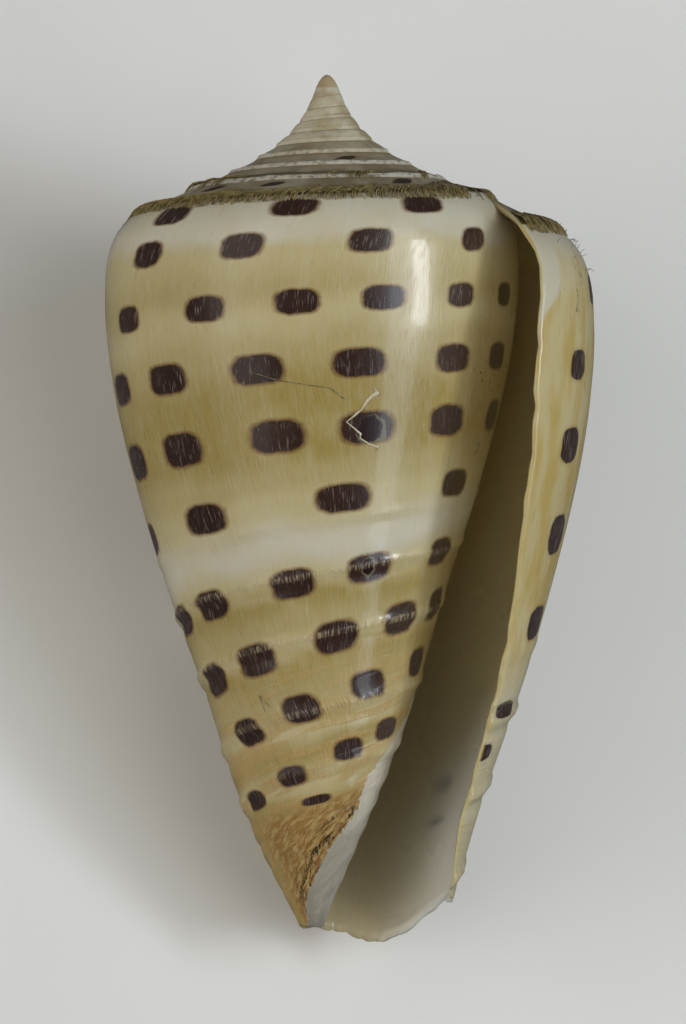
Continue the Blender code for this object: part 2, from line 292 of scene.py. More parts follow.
class ShellSizes(bpy.types.PropertyGroup):
    """Sizes of the shell's relief and of its mesh."""
    columns: IntProperty(
        name="Columns", description="Columns of the mesh in one turn, a multiple of 20",
        default=200, min=40, max=240, step=20)
    ridge_height: FloatProperty(
        name="Ridge height", description="Height of the spiral ridges near the base",
        default=0.11 * MM, min=0.0, max=0.5 * MM, precision=6, unit="LENGTH")
    lip_chips: FloatProperty(
        name="Lip chips", description="How deep the small chips along the lip's edge are",
        default=0.09 * MM, min=0.0, max=0.5 * MM, precision=6, unit="LENGTH")
    growth_relief: FloatProperty(
        name="Growth relief", description="Height of the slow waves across the growth lines",
        default=0.012 * MM, min=0.0, max=0.1 * MM, precision=6, unit="LENGTH")


class ShellColours(bpy.types.PropertyGroup):
    """Colours of the shell."""
    cream: FloatVectorProperty(
        name="Cream", description="Ground colour of the body", subtype="COLOR", size=3,
        default=(0.55, 0.46, 0.235), min=0.0, max=1.0)
    ochre: FloatVectorProperty(
        name="Ochre", description="Colour of the warm bands round the body", subtype="COLOR", size=3,
        default=(0.37, 0.27, 0.072), min=0.0, max=1.0)
    white: FloatVectorProperty(
        name="White", description="Colour of the shoulder and of the pale bands", subtype="COLOR", size=3,
        default=(0.64, 0.60, 0.47), min=0.0, max=1.0)
    spot: FloatVectorProperty(
        name="Spot", description="Colour of the spots", subtype="COLOR", size=3,
        default=(0.030, 0.011, 0.006), min=0.0, max=1.0)
    halo: FloatVectorProperty(
        name="Halo", description="Colour of the soft rim round each spot", subtype="COLOR", size=3,
        default=(0.16, 0.075, 0.02), min=0.0, max=1.0)
    stain: FloatVectorProperty(
        name="Stain", description="Colour of the worn base", subtype="COLOR", size=3,
        default=(0.33, 0.165, 0.030), min=0.0, max=1.0)
    porcelain: FloatVectorProperty(
        name="Porcelain", description="Colour of the aperture's lining", subtype="COLOR", size=3,
        default=(0.70, 0.68, 0.61), min=0.0, max=1.0)
    fringe: FloatVectorProperty(
        name="Fringe", description="Colour of the skin left on the spire", subtype="COLOR", size=3,
        default=(0.13, 0.095, 0.025), min=0.0, max=1.0)


class FringeSizes(bpy.types.PropertyGroup):
    """Sizes of the fringe on the spire's ledges."""
    spacing: FloatProperty(
        name="Spacing", description="Distance between fibres along the shoulder",
        default=0.062 * MM, min=0.03 * MM, max=1.0 * MM, precision=6, unit="LENGTH")
    thickness: FloatProperty(
        name="Thickness", description="Thickness of a fibre at its root",
        default=0.062 * MM, min=0.01 * MM, max=0.3 * MM, precision=6, unit="LENGTH")


class StageLook(bpy.types.PropertyGroup):
    """Floor, lights and camera."""
    lens: FloatProperty(
        name="Lens", description="Focal length of the camera, in millimetres",
        default=400.0, min=50.0, max=1000.0)
    floor: FloatVectorProperty(
        name="Floor", description="Colour of the floor", subtype="COLOR", size=3,
        default=(0.84, 0.83, 0.81), min=0.0, max=1.0)
    ambient: FloatProperty(
        name="Ambient", description="Strength of the even light from all sides",
        default=0.07, min=0.0, max=5.0)


def smooth_curve(x, points):
    """A smooth curve through points: cubic spans whose slopes come from each point's neighbours."""
    xs, ys = np.array(points).T
    slopes = np.gradient(ys, xs)
    i = np.clip(np.searchsorted(xs, x, side="right") - 1, 0, len(xs) - 2)
    span = xs[i + 1] - xs[i]
    t = np.clip((x - xs[i]) / span, 0.0, 1.0)
    start = ys[i] * (1 + 2 * t) * (1 - t) ** 2 + slopes[i] * span * t * (1 - t) ** 2
    end = ys[i + 1] * t ** 2 * (3 - 2 * t) - slopes[i + 1] * span * t ** 2 * (1 - t)
    return start + end


def ease(x, low, high):
    """0 at low, 1 at high, and a smooth step between them. Low may be above high."""
    t = np.clip((x - low) / (high - low), 0.0, 1.0)
    return t * t * (3 - 2 * t)


def wander(x, wavelength, seed):
    """A smooth random curve between -1 and 1: values drawn one wavelength apart, joined by easing."""
    draws = np.random.default_rng(seed).uniform(-1, 1, 4096)
    place = x / wavelength + 1000.0
    i = np.floor(place).astype(int)
    t = place - i
    return draws[i % 4096] + (draws[(i + 1) % 4096] - draws[i % 4096]) * t * t * (3 - 2 * t)


def shoulder(turn):
    """Radius of the shoulder's edge, and its drop below the apex: the radius shrinks by the widening
    with each turn back, and the drop falls evenly, with one more term for the last turn's sinking."""
    radius = SHOULDER_RADIUS * WIDENING ** -turn + EARLY_EXTRA * np.clip(turn / EARLY_TURNS, 0, 1)
    drop = SPIRE_DEPTH - SPIRE_STEP * turn + LAST_DROP * np.exp(-turn / LAST_DROP_TURNS)
    return radius, drop


def reach(depth):
    """How strongly a point of the body is drawn down to the columella's tip: a power of its share of
    the way down, from 0 to 1."""
    return np.clip((depth / BODY_LENGTH - TIP_START) / (1 - TIP_START), 0, 1) ** TIP_REACH_POWER


def body(turn, depth):
    """Radius and drop of the plain outer wall: the outline, shrunk by the widening with each turn back
    and drawn down to the columella's tip."""
    edge_radius, edge_drop = shoulder(turn)
    radius = edge_radius / SHOULDER_RADIUS * smooth_curve(depth, BODY_OUTLINE)
    slimmer = COLUMELLA_NARROWING * np.clip((turn - CANAL_ENDS) / 0.5, 0, 1)
    radius = np.maximum(radius * (1 - slimmer * reach(depth) ** 1.9), COLUMELLA_MIN_RADIUS)
    scale = WIDENING ** -turn
    short_by = np.clip(TIP_DEPTH - edge_drop - BODY_LENGTH * scale, 0, None)
    return radius, edge_drop + scale * depth + short_by * reach(depth)


def depth_for_drop(turn, drop):
    """The depth at which the body of a turn has a given drop, found by halving the span."""
    low = np.zeros_like(drop)
    high = np.full_like(drop, BODY_LENGTH)
    for _ in range(24):
        middle = (low + high) / 2
        above = body(turn, middle)[1] < drop
        low = np.where(above, middle, low)
        high = np.where(above, high, middle)
    return (low + high) / 2


def rim_depth(turn):
    """Depth where the body of a turn ends: a smooth curve through the rim's points, with small
    random nicks on the open rim."""
    nicks = 0.10 * wander(turn, 0.013, 31) + 0.12 * wander(turn, 0.04, 32)
    open_rim = ease(turn, 0.0, 0.02) * ease(turn, 0.50, 0.42)
    return np.minimum(smooth_curve(turn, RIM_EDGE) + nicks * open_rim, BODY_LENGTH)


def row_depth(turn, depth):
    """Depth of a row at a turn: the lower rows close up evenly so that the last one lies on the rim."""
    rim = rim_depth(turn)
    below = np.clip(depth - RIM_ROWS_FROM, 0, None)
    return depth - below + below * (rim - RIM_ROWS_FROM) / (BODY_LENGTH - RIM_ROWS_FROM)


def ridge_profile(depth):
    """The spiral ridges: a rounded bump at each ridge's depth, less a shallow hollow just below it."""
    total = np.zeros_like(depth)
    for centre, share in RIDGES:
        away = (depth - centre) / RIDGE_WIDTH
        total = total + share * np.exp(-away ** 2)
        total = total - share * UNDERCUT * np.exp(-((depth - centre - UNDERCUT_BELOW) / RIDGE_WIDTH) ** 2)
    return total


def to_points(turn, radius, drop, lip_angle, lean_depth):
    """Points from cylinder coordinates: the shell's axis is Z, the apex is at the origin."""
    angle = np.radians(lip_angle) + 2 * np.pi * turn
    lean = TIP_LEAN * reach(lean_depth) ** 5 * ease(turn, 0.2, CANAL_ENDS)
    return np.stack([radius * np.cos(angle) - lean, radius * np.sin(angle), -drop], axis=-1)


def lip_angle_at(turn, depth):
    """Angle of the growth line through a point: the lip's own curve, with its chips fading out over
    the first hundredth of a turn."""
    chips = wander(depth, 0.55, 11) + 0.6 * wander(depth, 0.21, 12) + 0.35 * wander(depth, 1.9, 13)
    degrees = np.degrees(bpy.context.scene.shell_sizes.lip_chips / MM / SHOULDER_RADIUS)
    return smooth_curve(depth, LIP_EDGE) + degrees * chips * np.exp(-turn / 0.012)


def outer_wall(turn, depth):
    """Points of the outer wall: the body, plus the ridges and slow waves across the growth lines."""
    sizes = bpy.context.scene.shell_sizes
    at = row_depth(turn, depth)
    radius, drop = body(turn, at)
    fade = WIDENING ** -turn * (1 - ease(turn, 1.0, 1.3))
    grain = 1 + 0.35 * wander(turn, 0.006, 21)
    height = sizes.ridge_height / MM * ridge_profile(at) * grain * fade
    waves = wander(turn, 0.02, 22) + 0.7 * wander(turn, 0.055, 23)
    height = height + sizes.growth_relief / MM * waves * ease(depth, 0.3, 2.0) * fade
    return to_points(turn, radius + height, drop, lip_angle_at(turn, at), at)


def wall_thickness(turn, depth):
    """Thin at the lip's edge and the rim, full a little behind them, and thinner on smaller turns."""
    full = LIP_THICKNESS + (WALL_THICKNESS - LIP_THICKNESS) * (1 - np.exp(-turn / WALL_GROWS_TURNS))
    edge = 0.45 + 0.55 * ease(turn, 0.0, 0.012)
    return edge * full * WIDENING ** -turn * (1 - RIM_THINNING * ease(depth, CANAL_DEPTH, BODY_LENGTH))


def inner_wall(turn, depth):
    """Points of the hollow's outer side: the outer wall moved in by its thickness. Towards the base it
    closes on the turn before it, past the end of the slit along the base."""
    at = row_depth(turn, depth)
    radius, drop = body(turn, at)
    edge_drop = shoulder(turn)[1]
    rim_drop = body(turn, rim_depth(turn))[1]
    crease_drop = body(turn + 1, rim_depth(turn + 1))[1]
    closed = ease(turn, CANAL_CLOSES_FROM, CANAL_ENDS)
    shorter = (crease_drop - edge_drop) / (rim_drop - edge_drop)
    drop = edge_drop + (drop - edge_drop) * (1 - closed * (1 - shorter))
    inside = body(turn + 1, depth_for_drop(turn + 1, drop))[0]
    room = np.maximum(radius - inside, 0.02)
    gap = room - np.minimum(wall_thickness(turn, depth), 0.5 * room)
    gap = gap * (1 - closed * ease(depth, CANAL_DEPTH, BODY_LENGTH))
    return to_points(turn, inside + gap, drop, lip_angle_at(turn, at), at)


def ledge(turn, share):
    """Radius, drop and lip angle on the ledge from the shoulder, share 0, straight in to the suture on
    the turn before it, share 1. The first turns bulge; the later ones have a worn, uneven cord beside
    the shoulder and a hollow behind it, and both are nothing at the ledge's two sides."""
    radius, drop = shoulder(turn)
    before = turn + 1 + SUTURE_LAG_TURNS
    suture_radius, suture_drop = body(before, np.full_like(turn, EDGE_ROWS[1]))
    width = radius - suture_radius
    bulge = LEDGE_BULGE * ease(turn, *LEDGE_BULGE_TURNS) * 4 * share * (1 - share) * width
    worn = 1 + 0.45 * wander(turn, 0.011, 51) + 0.35 * wander(turn, 0.05, 52)
    cord = np.exp(-((share - CORD_SHARE) / CORD_WIDTH) ** 2) * (1 - np.exp(-(share / 0.04) ** 2))
    cord = CORD_HEIGHT * cord * worn * ease(turn, 0.75, 1.1) * ease(turn, 8.3, 7.0)
    hollow = LEDGE_HOLLOW * 4 * share * (1 - share) * share * ease(turn, 6.0, 3.0)
    return (
        radius - share * width,
        drop + share * (suture_drop - drop) - bulge - cord + hollow,
        LIP_EDGE[0][1] + share * 360 * SUTURE_LAG_TURNS,
    )


def ledge_top(turn, share):
    """Points on top of the ledge."""
    radius, drop, lip_angle = ledge(turn, share)
    return to_points(turn, radius, drop, lip_angle, np.zeros_like(turn))


def ledge_underside(turn, share):
    """Points under the ledge: its top, moved down and in by the wall's thickness."""
    radius, drop, lip_angle = ledge(turn, share)
    thickness = wall_thickness(turn, 0.0)
    at_suture = (EDGE_ROWS[2] - EDGE_ROWS[1]) * WIDENING ** -(turn + 1)
    down = thickness + share * (at_suture - thickness)
    return to_points(
        turn, radius - 0.6 * thickness * (1 - share), drop + down, lip_angle, np.zeros_like(turn)
    )


def quads(grid):
    """Two triangles for each cell of a grid, for point numbers or for values kept at their corners."""
    a, b, c, d = grid[:-1, :-1], grid[1:, :-1], grid[1:, 1:], grid[:-1, 1:]
    tail = (-1, 3) + grid.shape[2:]
    return np.concatenate([np.stack([a, b, c], 2).reshape(tail), np.stack([a, c, d], 2).reshape(tail)])


def zip_lines(points, first, second):
    """A strip of triangles between two lines of point numbers, paired by their share of each length."""
    middles = []
    for line in (first, second):
        steps = np.linalg.norm(np.diff(points[line], axis=0), axis=1)
        ends = np.cumsum(steps) / steps.sum()
        middles.append(ends - 0.5 * steps / steps.sum())
    across = np.searchsorted(middles[1], middles[0], side="left")
    back = np.searchsorted(middles[0], middles[1], side="right")
    return np.concatenate([
        np.stack([first[:-1], first[1:], second[across]], -1),
        np.stack([second[1:], second[:-1], first[back]], -1),
    ])


def fan(line, centre):
    """Triangles from each span of a line to one point."""
    return np.stack([line[:-1], line[1:], np.full(len(line) - 1, centre)], -1)


class SurfaceParts:
    """Collects points and triangles, with each corner's place on the shell and each face's material."""

    def __init__(self):
        self.points = []
        self.places = []
        self.faces = []
        self.corners = []
        self.kinds = []

    def add_points(self, new, place):
        """Adds a block of points with their turn and depth, and returns their numbers."""
        start = sum(len(block) for block in self.points)
        self.points.append(new.reshape(-1, 3))
        self.places.append(np.broadcast_to(place, new.shape[:-1] + (2,)).reshape(-1, 2))
        return start + np.arange(len(self.points[-1])).reshape(new.shape[:-1])

    def add_faces(self, new, kind, corners=None):
        """Adds triangles; without corner places of their own they take those of their points."""
        self.faces.append(new)
        self.corners.append(np.concatenate(self.places)[new] if corners is None else corners)
        self.kinds.append(np.full(len(new), kind))

    def finished(self):
        """Points, triangles, corner places and kinds, without collapsed triangles or unused points."""
        points = np.concatenate(self.points)
        faces = np.concatenate(self.faces)
        same = (faces[:, 0] == faces[:, 1]) | (faces[:, 1] == faces[:, 2]) | (faces[:, 2] == faces[:, 0])
        used = np.unique(faces[~same])
        return (
            points[used], np.searchsorted(used, faces[~same]),
            np.concatenate(self.corners)[~same], np.concatenate(self.kinds)[~same],
        )


COAT, SPIRE, LINING = 0, 1, 2


def shell_surface(columns):
    """The whole closed surface: outer wall, ledges, hollow, columella's tip and apex.

    Each part is a grid over turns and depth, and neighbouring grids share their edge points.
    """
    top_rows = np.arange(EDGE_ROWS[2] + TOP_ROW_STEP, TOP_ROWS_TO, TOP_ROW_STEP)
    body_rows = np.arange(TOP_ROWS_TO, BODY_ROWS_TO - 0.1, BODY_ROW_STEP)
    base_rows = np.linspace(BODY_ROWS_TO, BODY_LENGTH, round((BODY_LENGTH - BODY_ROWS_TO) / BASE_ROW_STEP))
    depths = np.concatenate([top_rows, body_rows, base_rows])
    inner_depths = np.linspace(EDGE_ROWS[2] + BODY_ROW_STEP, BODY_LENGTH, INNER_ROWS)
    # Numbers of columns: from the shoulder to its suture, from a turn to the one before it, and to the
    # ends of the hollow, the slit and the spire
    lag = round(SUTURE_LAG_TURNS * columns)
    before = columns
    cavity = round(CAVITY_TURNS * columns)
    canal = round(CANAL_ENDS * columns)
    spire = round(SPIRE_TURNS * columns)
    parts = SurfaceParts()

    def grid(surface, steps, along, sign=1.0):
        """Adds a surface's points. Sign is -1 on the ledges, whose place has minus their share."""
        turn, other = np.meshgrid(np.asarray(steps) / columns, along, indexing="ij")
        return parts.add_points(surface(turn, other), np.stack([turn, sign * other], -1))

    edges = grid(outer_wall, range(spire + before + lag + 1), EDGE_ROWS[:2])
    under = grid(outer_wall, range(before + cavity + lag + 1), EDGE_ROWS[2:])
    lower = grid(outer_wall, range(before + cavity + 1), depths)
    wall = np.hstack([edges[:len(lower)], under[:len(lower)], lower])

    shares = np.array(LEDGE_SHARES)
    ledges = np.hstack([
        edges[:spire + 1, :1],
        grid(ledge_top, range(spire + 1), shares, -1.0),
        edges[before + lag:, 1:],
    ])
    ledge_places = np.stack(np.meshgrid(
        np.arange(spire + 1) / columns, -np.array((0.0, *LEDGE_SHARES, 1.0)), indexing="ij"), -1)

    inner = np.hstack([
        under[before + lag:],
        grid(ledge_underside, range(cavity + 1), np.append(shares[::-1], 0.0), -1.0),
        grid(inner_wall, range(cavity + 1), inner_depths),
    ])
    inner[canal:, -1] = wall[before + canal:, -1]
    inner_along = np.concatenate([np.zeros(len(shares) + 2), inner_depths])
    inner_places = np.stack(np.meshgrid(np.arange(cavity + 1) / columns, inner_along, indexing="ij"), -1)

    tip = parts.add_points(np.array([[-TIP_LEAN, 0.0, -TIP_DEPTH - 0.05]]), (1.0, BODY_LENGTH))[0]
    first_turn = edges[spire + lag:, 0]
    edge_points = np.concatenate(parts.points)[first_turn]
    radius = np.linalg.norm(edge_points[:, :2], axis=1).mean()
    angle = np.arctan2(edge_points[:-1, 1], edge_points[:-1, 0])
    circle = np.stack([radius * np.cos(angle), radius * np.sin(angle), 0 * angle], -1)
    height = np.array([0.0, 0.0, edge_points[:, 2].mean()])
    rings = [
        parts.add_points(share * circle + share ** 2 * height, (SPIRE_TURNS, -1.0)) for share in DOME_RINGS
    ]
    apex = parts.add_points(np.zeros((1, 3)), (SPIRE_TURNS, -1.0))[0]
    points = np.concatenate(parts.points)

    parts.add_faces(quads(edges[:before + 1]), COAT)
    parts.add_faces(quads(edges[before:]), SPIRE)
    parts.add_faces(quads(wall[:before + lag + 1, 1:3]), COAT)
    parts.add_faces(quads(wall[:, 2:]), COAT)
    parts.add_faces(quads(ledges), SPIRE, quads(ledge_places))
    parts.add_faces(quads(inner), LINING, quads(inner_places))
    parts.add_faces(quads(np.stack([inner[:canal + 1, -1], wall[:canal + 1, -1]])), LINING)
    outer_lip = np.concatenate([ledges[0, ::-1], wall[0, 1:]])
    parts.add_faces(zip_lines(points, outer_lip, inner[0]), LINING)
    hollow_end = np.concatenate([under[:before + cavity:-1, 0], wall[-1, 2:]])
    parts.add_faces(zip_lines(points, inner[-1], hollow_end), LINING)
    tip_loop = wall[canal:canal + before + 1, -1]
    parts.add_faces(fan(np.append(tip_loop, tip_loop[0]), tip), COAT)
    parts.add_faces(zip_lines(points, edges[spire:spire + lag + 1, 0], ledges[-1]), SPIRE)
    closed = [np.append(ring, ring[0]) for ring in rings]
    for outer, inward in zip([first_turn] + closed[:-1], closed):
        parts.add_faces(quads(np.stack([outer, inward])), SPIRE)
    ring_start, edge_start = rings[0][0], edges[-1, 1]
    start = [[ring_start, first_turn[-1], edge_start], [ring_start, edge_start, first_turn[0]]]
    parts.add_faces(np.array(start), SPIRE)
    parts.add_faces(fan(closed[-1], apex), SPIRE)
    return parts.finished()


def spot_list():
    """All spots as rows of turn, depth, half width and half height.

    The front spots stand where they are listed, and grow narrower near the aperture. Those on the
    hidden side go on at an even spacing, each moved and sized a little at random. The last ones are the
    spots on the shoulder and the blotches on the spire's ledges, whose depth is minus their share.
    """
    random = np.random.default_rng(RANDOM_SEED)
    spots = []
    for depth, rise, width, height, turns in SPOT_ROWS:
        for turn in turns:
            narrow = 1 - SPOT_NARROWING * ease(turn, *SPOT_NARROW_TURNS)
            risen = rise * (max(turn, SPOT_LEVEL_TURNS) - SPOT_MIDDLE_TURNS)
            spots.append((turn, depth - risen, width / 2 * narrow, height / 2))
        first = SPOT_HIDDEN_TURNS[0] + random.uniform(0, 0.03)
        last = min(turn for turn in turns if turn > SPOT_HIDDEN_TURNS[1]) - SPOT_SPACING
        for turn in np.arange(first, last, SPOT_SPACING) if len(turns) > 1 else ():
            spots.append((
                turn + random.uniform(-0.008, 0.008), depth + random.uniform(-0.1, 0.1),
                width / 2 * random.uniform(0.85, 1.1), height / 2 * random.uniform(0.85, 1.1),
            ))
    depth, _, width, height, turns = SHOULDER_SPOTS
    for turn in turns + tuple(np.arange(0.14, turns[0] - 0.08, SHOULDER_SPACING)):
        spots.append((turn, depth, width / 2, height / 2))
    for turn, share, half_width, half_share in BLOTCHES:
        spots.append((turn, -share, half_width, half_share))
    for turn in np.arange(*LEDGE_SPOT_TURNS, LEDGE_SPOT_SPACING):
        if turn % 1 < SPOT_HIDDEN_TURNS[1]:
            spots.append((turn + random.uniform(-0.03, 0.03), random.uniform(-0.85, -0.5), 0.4, 0.12))
    return np.array(spots)


def nearest_spot(turn, depth):
    """Place in the nearest spot: across and down in its half sizes, and the distance to its edge.

    Distance along the turn is the angle times the radius of the body there.
    """
    spots = spot_list()
    radius = np.maximum(body(turn, np.clip(depth, 0, BODY_LENGTH))[0], 0.5)
    best = np.full(turn.shape + (3,), 9.0)
    for spot_turn, spot_depth, half_width, half_height in spots:
        across = (turn - spot_turn) * 2 * np.pi * radius / half_width
        down = (depth - spot_depth) / half_height
        size = np.abs(across) ** SPOT_CORNER_POWER + np.abs(down) ** SPOT_CORNER_POWER
        away = (size ** (1 / SPOT_CORNER_POWER) - 1) * min(half_width, half_height)
        closer = away < best[..., 2]
        best[closer] = np.stack([across, down, away], -1)[closer]
    return best


def lying_down():
    """Turns the standing shell on its back: the aperture faces up and the apex points to +Y."""
    lay = Matrix.Rotation(math.radians(-90), 4, "X")
    pitch = Matrix.Rotation(math.radians(REST_PITCH), 4, "X")
    roll = Matrix.Rotation(math.radians(REST_ROLL), 4, "Z")
    return pitch @ lay @ roll


def placed(points):
    """Points in metres in the frame's own place: turned to lie down, then moved by the offset that
    sets the shell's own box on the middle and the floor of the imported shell's box."""
    turned = points * MM @ np.array(lying_down())[:3, :3].T
    return turned + np.array(bpy.context.scene["shell_offset"])


def find_offset(points):
    """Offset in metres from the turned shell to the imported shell's box."""
    turned = points * MM @ np.array(lying_down())[:3, :3].T
    low, high = turned.min(axis=0), turned.max(axis=0)
    cad_low, cad_high = (np.array(corner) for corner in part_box("cone_shell"))
    middle = (cad_low + cad_high) / 2 - (low + high) / 2
    return (middle[0], middle[1], cad_low[2] - low[2])


def new_piece(name, points, faces, materials, slot="shell"):
    """A mesh object at the origin with its place in its points, riding on the frame's body."""
    mesh = bpy.data.meshes.new(name)
    mesh.from_pydata(points.tolist(), [], faces.tolist())
    for material in materials:
        mesh.materials.append(material)
    piece = bpy.data.objects.new(name, mesh)
    bpy.context.scene.collection.objects.link(piece)
    mesh.shade_smooth()
    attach(piece, "root")
    return piece


def corner_attribute(mesh, name, values):
    """Stores one vector for each corner of each face."""
    layer = mesh.attributes.new(name, "FLOAT_VECTOR", "CORNER")
    layer.data.foreach_set("vector", np.ascontiguousarray(values, dtype=np.float32).ravel())


def face_outwards(mesh):
    """Turns the faces of a closed mesh outwards."""
    bm = bmesh.new()
    bm.from_mesh(mesh)
    bmesh.ops.recalc_face_normals(bm, faces=bm.faces)
    bm.to_mesh(mesh)
    bm.free()


class Graph:
    """Short ways to add and join the nodes of one tree."""

    def __init__(self, tree):
        self.tree = tree

    def feed(self, socket, value):
        """Links a socket to another one, or sets its own value."""
        if isinstance(value, bpy.types.NodeSocket):
            self.tree.links.new(value, socket)
        elif value is not None:
            socket.default_value = value

    def add(self, kind, inputs=(), **settings):
        """A node with its settings, and its inputs fed by name or number."""
        node = self.tree.nodes.new(kind)
        for name, value in settings.items():
            setattr(node, name, value)
        for name, value in dict(inputs).items():
            self.feed(node.inputs[name], value)
        return node

    def math(self, operation, a, b=None):
        """One step of arithmetic on one or two values."""
        node = self.add("ShaderNodeMath", operation=operation)
        for socket, value in zip(node.inputs, (a, b)):
            self.feed(socket, value)
        return node.outputs[0]

    def times(self, a, b):
        """The product of two values."""
        return self.math("MULTIPLY", a, b)

    def plus(self, a, b):
        """The sum of two values."""
        return self.math("ADD", a, b)

    def minus(self, a, b):
        """The first value less the second."""
        return self.math("SUBTRACT", a, b)

    def mix(self, factor, a, b):
        """The first colour at factor 0, the second at 1, and a blend between."""
        node = self.add("ShaderNodeMix", data_type="RGBA", clamp_factor=True)
        self.feed(node.inputs[0], factor)
        self.feed(node.inputs[6], (*a, 1.0) if isinstance(a, (tuple, list)) else a)
        self.feed(node.inputs[7], (*b, 1.0) if isinstance(b, (tuple, list)) else b)
        return node.outputs[2]

    def span(self, value, low, high, start=0.0, end=1.0):
        """Start below low, end above high, and a smooth step between. Low may be above high."""
        node = self.add("ShaderNodeMapRange", interpolation_type="SMOOTHSTEP")
        for socket, given in zip(node.inputs, (value, low, high, start, end)):
            self.feed(socket, given)
        return node.outputs[0]

    def noise(self, vector, scale, detail=2.0, roughness=0.5, distortion=0.0):
        """Smooth random values round 0.5."""
        node = self.add("ShaderNodeTexNoise", {
            "Vector": vector, "Scale": scale, "Detail": detail, "Roughness": roughness,
            "Distortion": distortion})
        return node.outputs["Fac"]

    def combine(self, x, y, z=0.0):
        """A vector from its three parts."""
        return self.add("ShaderNodeCombineXYZ", {"X": x, "Y": y, "Z": z}).outputs[0]

    def separate(self, vector):
        """The three parts of a vector."""
        return self.add("ShaderNodeSeparateXYZ", {"Vector": vector}).outputs

    def solid(self):
        """Points in the piece's own space, in metres."""
        return self.add("ShaderNodeTexCoord").outputs["Object"]

    def attribute(self, name):
        """The vector that the mesh's corners keep under a name."""
        return self.add("ShaderNodeAttribute", attribute_name=name).outputs["Vector"]

    def ramp(self, value, stops):
        """Colours by value: stops are places from 0 to 1 with their colours."""
        node = self.add("ShaderNodeValToRGB", {"Fac": value})
        ramp = node.color_ramp
        ramp.interpolation = "EASE"
        for _ in stops[2:]:
            ramp.elements.new(0.5)
        for element, (place, colour) in zip(ramp.elements, stops):
            element.position = place
            element.color = (*colour, 1.0)
        return node.outputs[0]

    def bump(self, height, distance):
        """The normal of a surface raised by a height from 0 to 1 times a distance in metres."""
        node = self.add("ShaderNodeBump", {"Strength": 1.0, "Distance": distance, "Height": height})
        return node.outputs[0]


def new_group(name, inputs, outputs):
    """An empty node group with named inputs (name: (kind, default)) and outputs (name: kind)."""
    tree = bpy.data.node_groups.new(name, "ShaderNodeTree")
    for key, (kind, default) in inputs.items():
        socket = tree.interface.new_socket(key, in_out="INPUT", socket_type=kind)
        if default is not None:
            socket.default_value = default
    for key, kind in outputs.items():
        tree.interface.new_socket(key, in_out="OUTPUT", socket_type=kind)
    graph = Graph(tree)
    entry = graph.add("NodeGroupInput").outputs
    leave = graph.add("NodeGroupOutput").inputs
    return graph, entry, leave


def growth_lines_group():
    """Fine lines along the growth direction: noise drawn out along the depth, at two widths."""
    graph, entry, leave = new_group("growth lines", {
        "Place": ("NodeSocketVector", None),
        "Lines per turn": ("NodeSocketFloat", 260.0),
    }, {"Lines": "NodeSocketFloat", "Scratches": "NodeSocketFloat"})
    turn, depth, _ = graph.separate(entry["Place"])
    across = graph.times(turn, entry["Lines per turn"])
    wide = graph.noise(graph.combine(across, graph.times(depth, 0.25)), 0.45, 3.0, 0.6)
    fine = graph.noise(graph.combine(across, graph.times(depth, 0.6)), 1.9, 2.0, 0.6)
    graph.feed(leave["Lines"], graph.plus(graph.times(wide, 0.4), graph.times(fine, 0.6)))
    slanted = graph.plus(across, graph.times(depth, 0.12))
    thin = graph.noise(graph.combine(slanted, graph.times(depth, 0.5), 3.0), 3.1, 2.0, 0.6, 0.25)
    graph.feed(leave["Scratches"], graph.span(thin, 0.56, 0.70))
    return graph.tree


def flake_group():
    """A flake off the coat: a ragged round bare place, and a pale rim that is wider below it."""
    graph, entry, leave = new_group("flake", {
        "Place": ("NodeSocketVector", None),
        "Roughening": ("NodeSocketFloat", 0.5),
        "Turn": ("NodeSocketFloat", 0.9),
        "Depth": ("NodeSocketFloat", 10.0),
        "Size": ("NodeSocketFloat", 0.5),
    }, {"Patch": "NodeSocketFloat", "Bare": "NodeSocketFloat"})
    turn, depth, _ = graph.separate(entry["Place"])
    mm_per_turn = 2 * math.pi * SHOULDER_RADIUS
    across = graph.times(graph.minus(turn, entry["Turn"]), mm_per_turn)
    down = graph.minus(depth, entry["Depth"])
    squares = [graph.math("POWER", side, 2.0) for side in (across, down)]
    away = graph.math("DIVIDE", graph.math("SQRT", graph.plus(*squares)), entry["Size"])
    away = graph.plus(away, graph.minus(entry["Roughening"], 0.5))
    lower = graph.times(graph.plus(across, down), 0.25)
    graph.feed(leave["Patch"], graph.span(graph.minus(away, lower), 1.22, 1.10))
    graph.feed(leave["Bare"], graph.span(away, 1.02, 0.94))
    return graph.tree


def spot_group():
    """A spot's core and halo from the place in it: a rounded box whose edge is roughened by noise."""
    graph, entry, leave = new_group("spot", {
        "Spot": ("NodeSocketVector", None),
        "Roughening": ("NodeSocketFloat", 0.5),
    }, {"Core": "NodeSocketFloat", "Halo": "NodeSocketFloat"})
    across, down, away = graph.separate(entry["Spot"])
    power = SPOT_CORNER_POWER
    parts = [graph.math("POWER", graph.math("ABSOLUTE", side), power) for side in (across, down)]
    size = graph.math("POWER", graph.plus(*parts), 1 / power)
    ragged = graph.times(graph.minus(entry["Roughening"], 0.5), 0.30)
    size = graph.plus(size, ragged)
    near = graph.span(away, 0.18, 0.13)
    graph.feed(leave["Core"], graph.times(graph.span(size, 1.03, 0.90), near))
    graph.feed(leave["Halo"], graph.times(graph.span(size, 1.26, 0.96), near))
    return graph.tree


def set_values(shader, values):
    """Sets a shader's own sockets from a dictionary of their names and values."""
    for name, value in values.items():
        shader[name].default_value = value


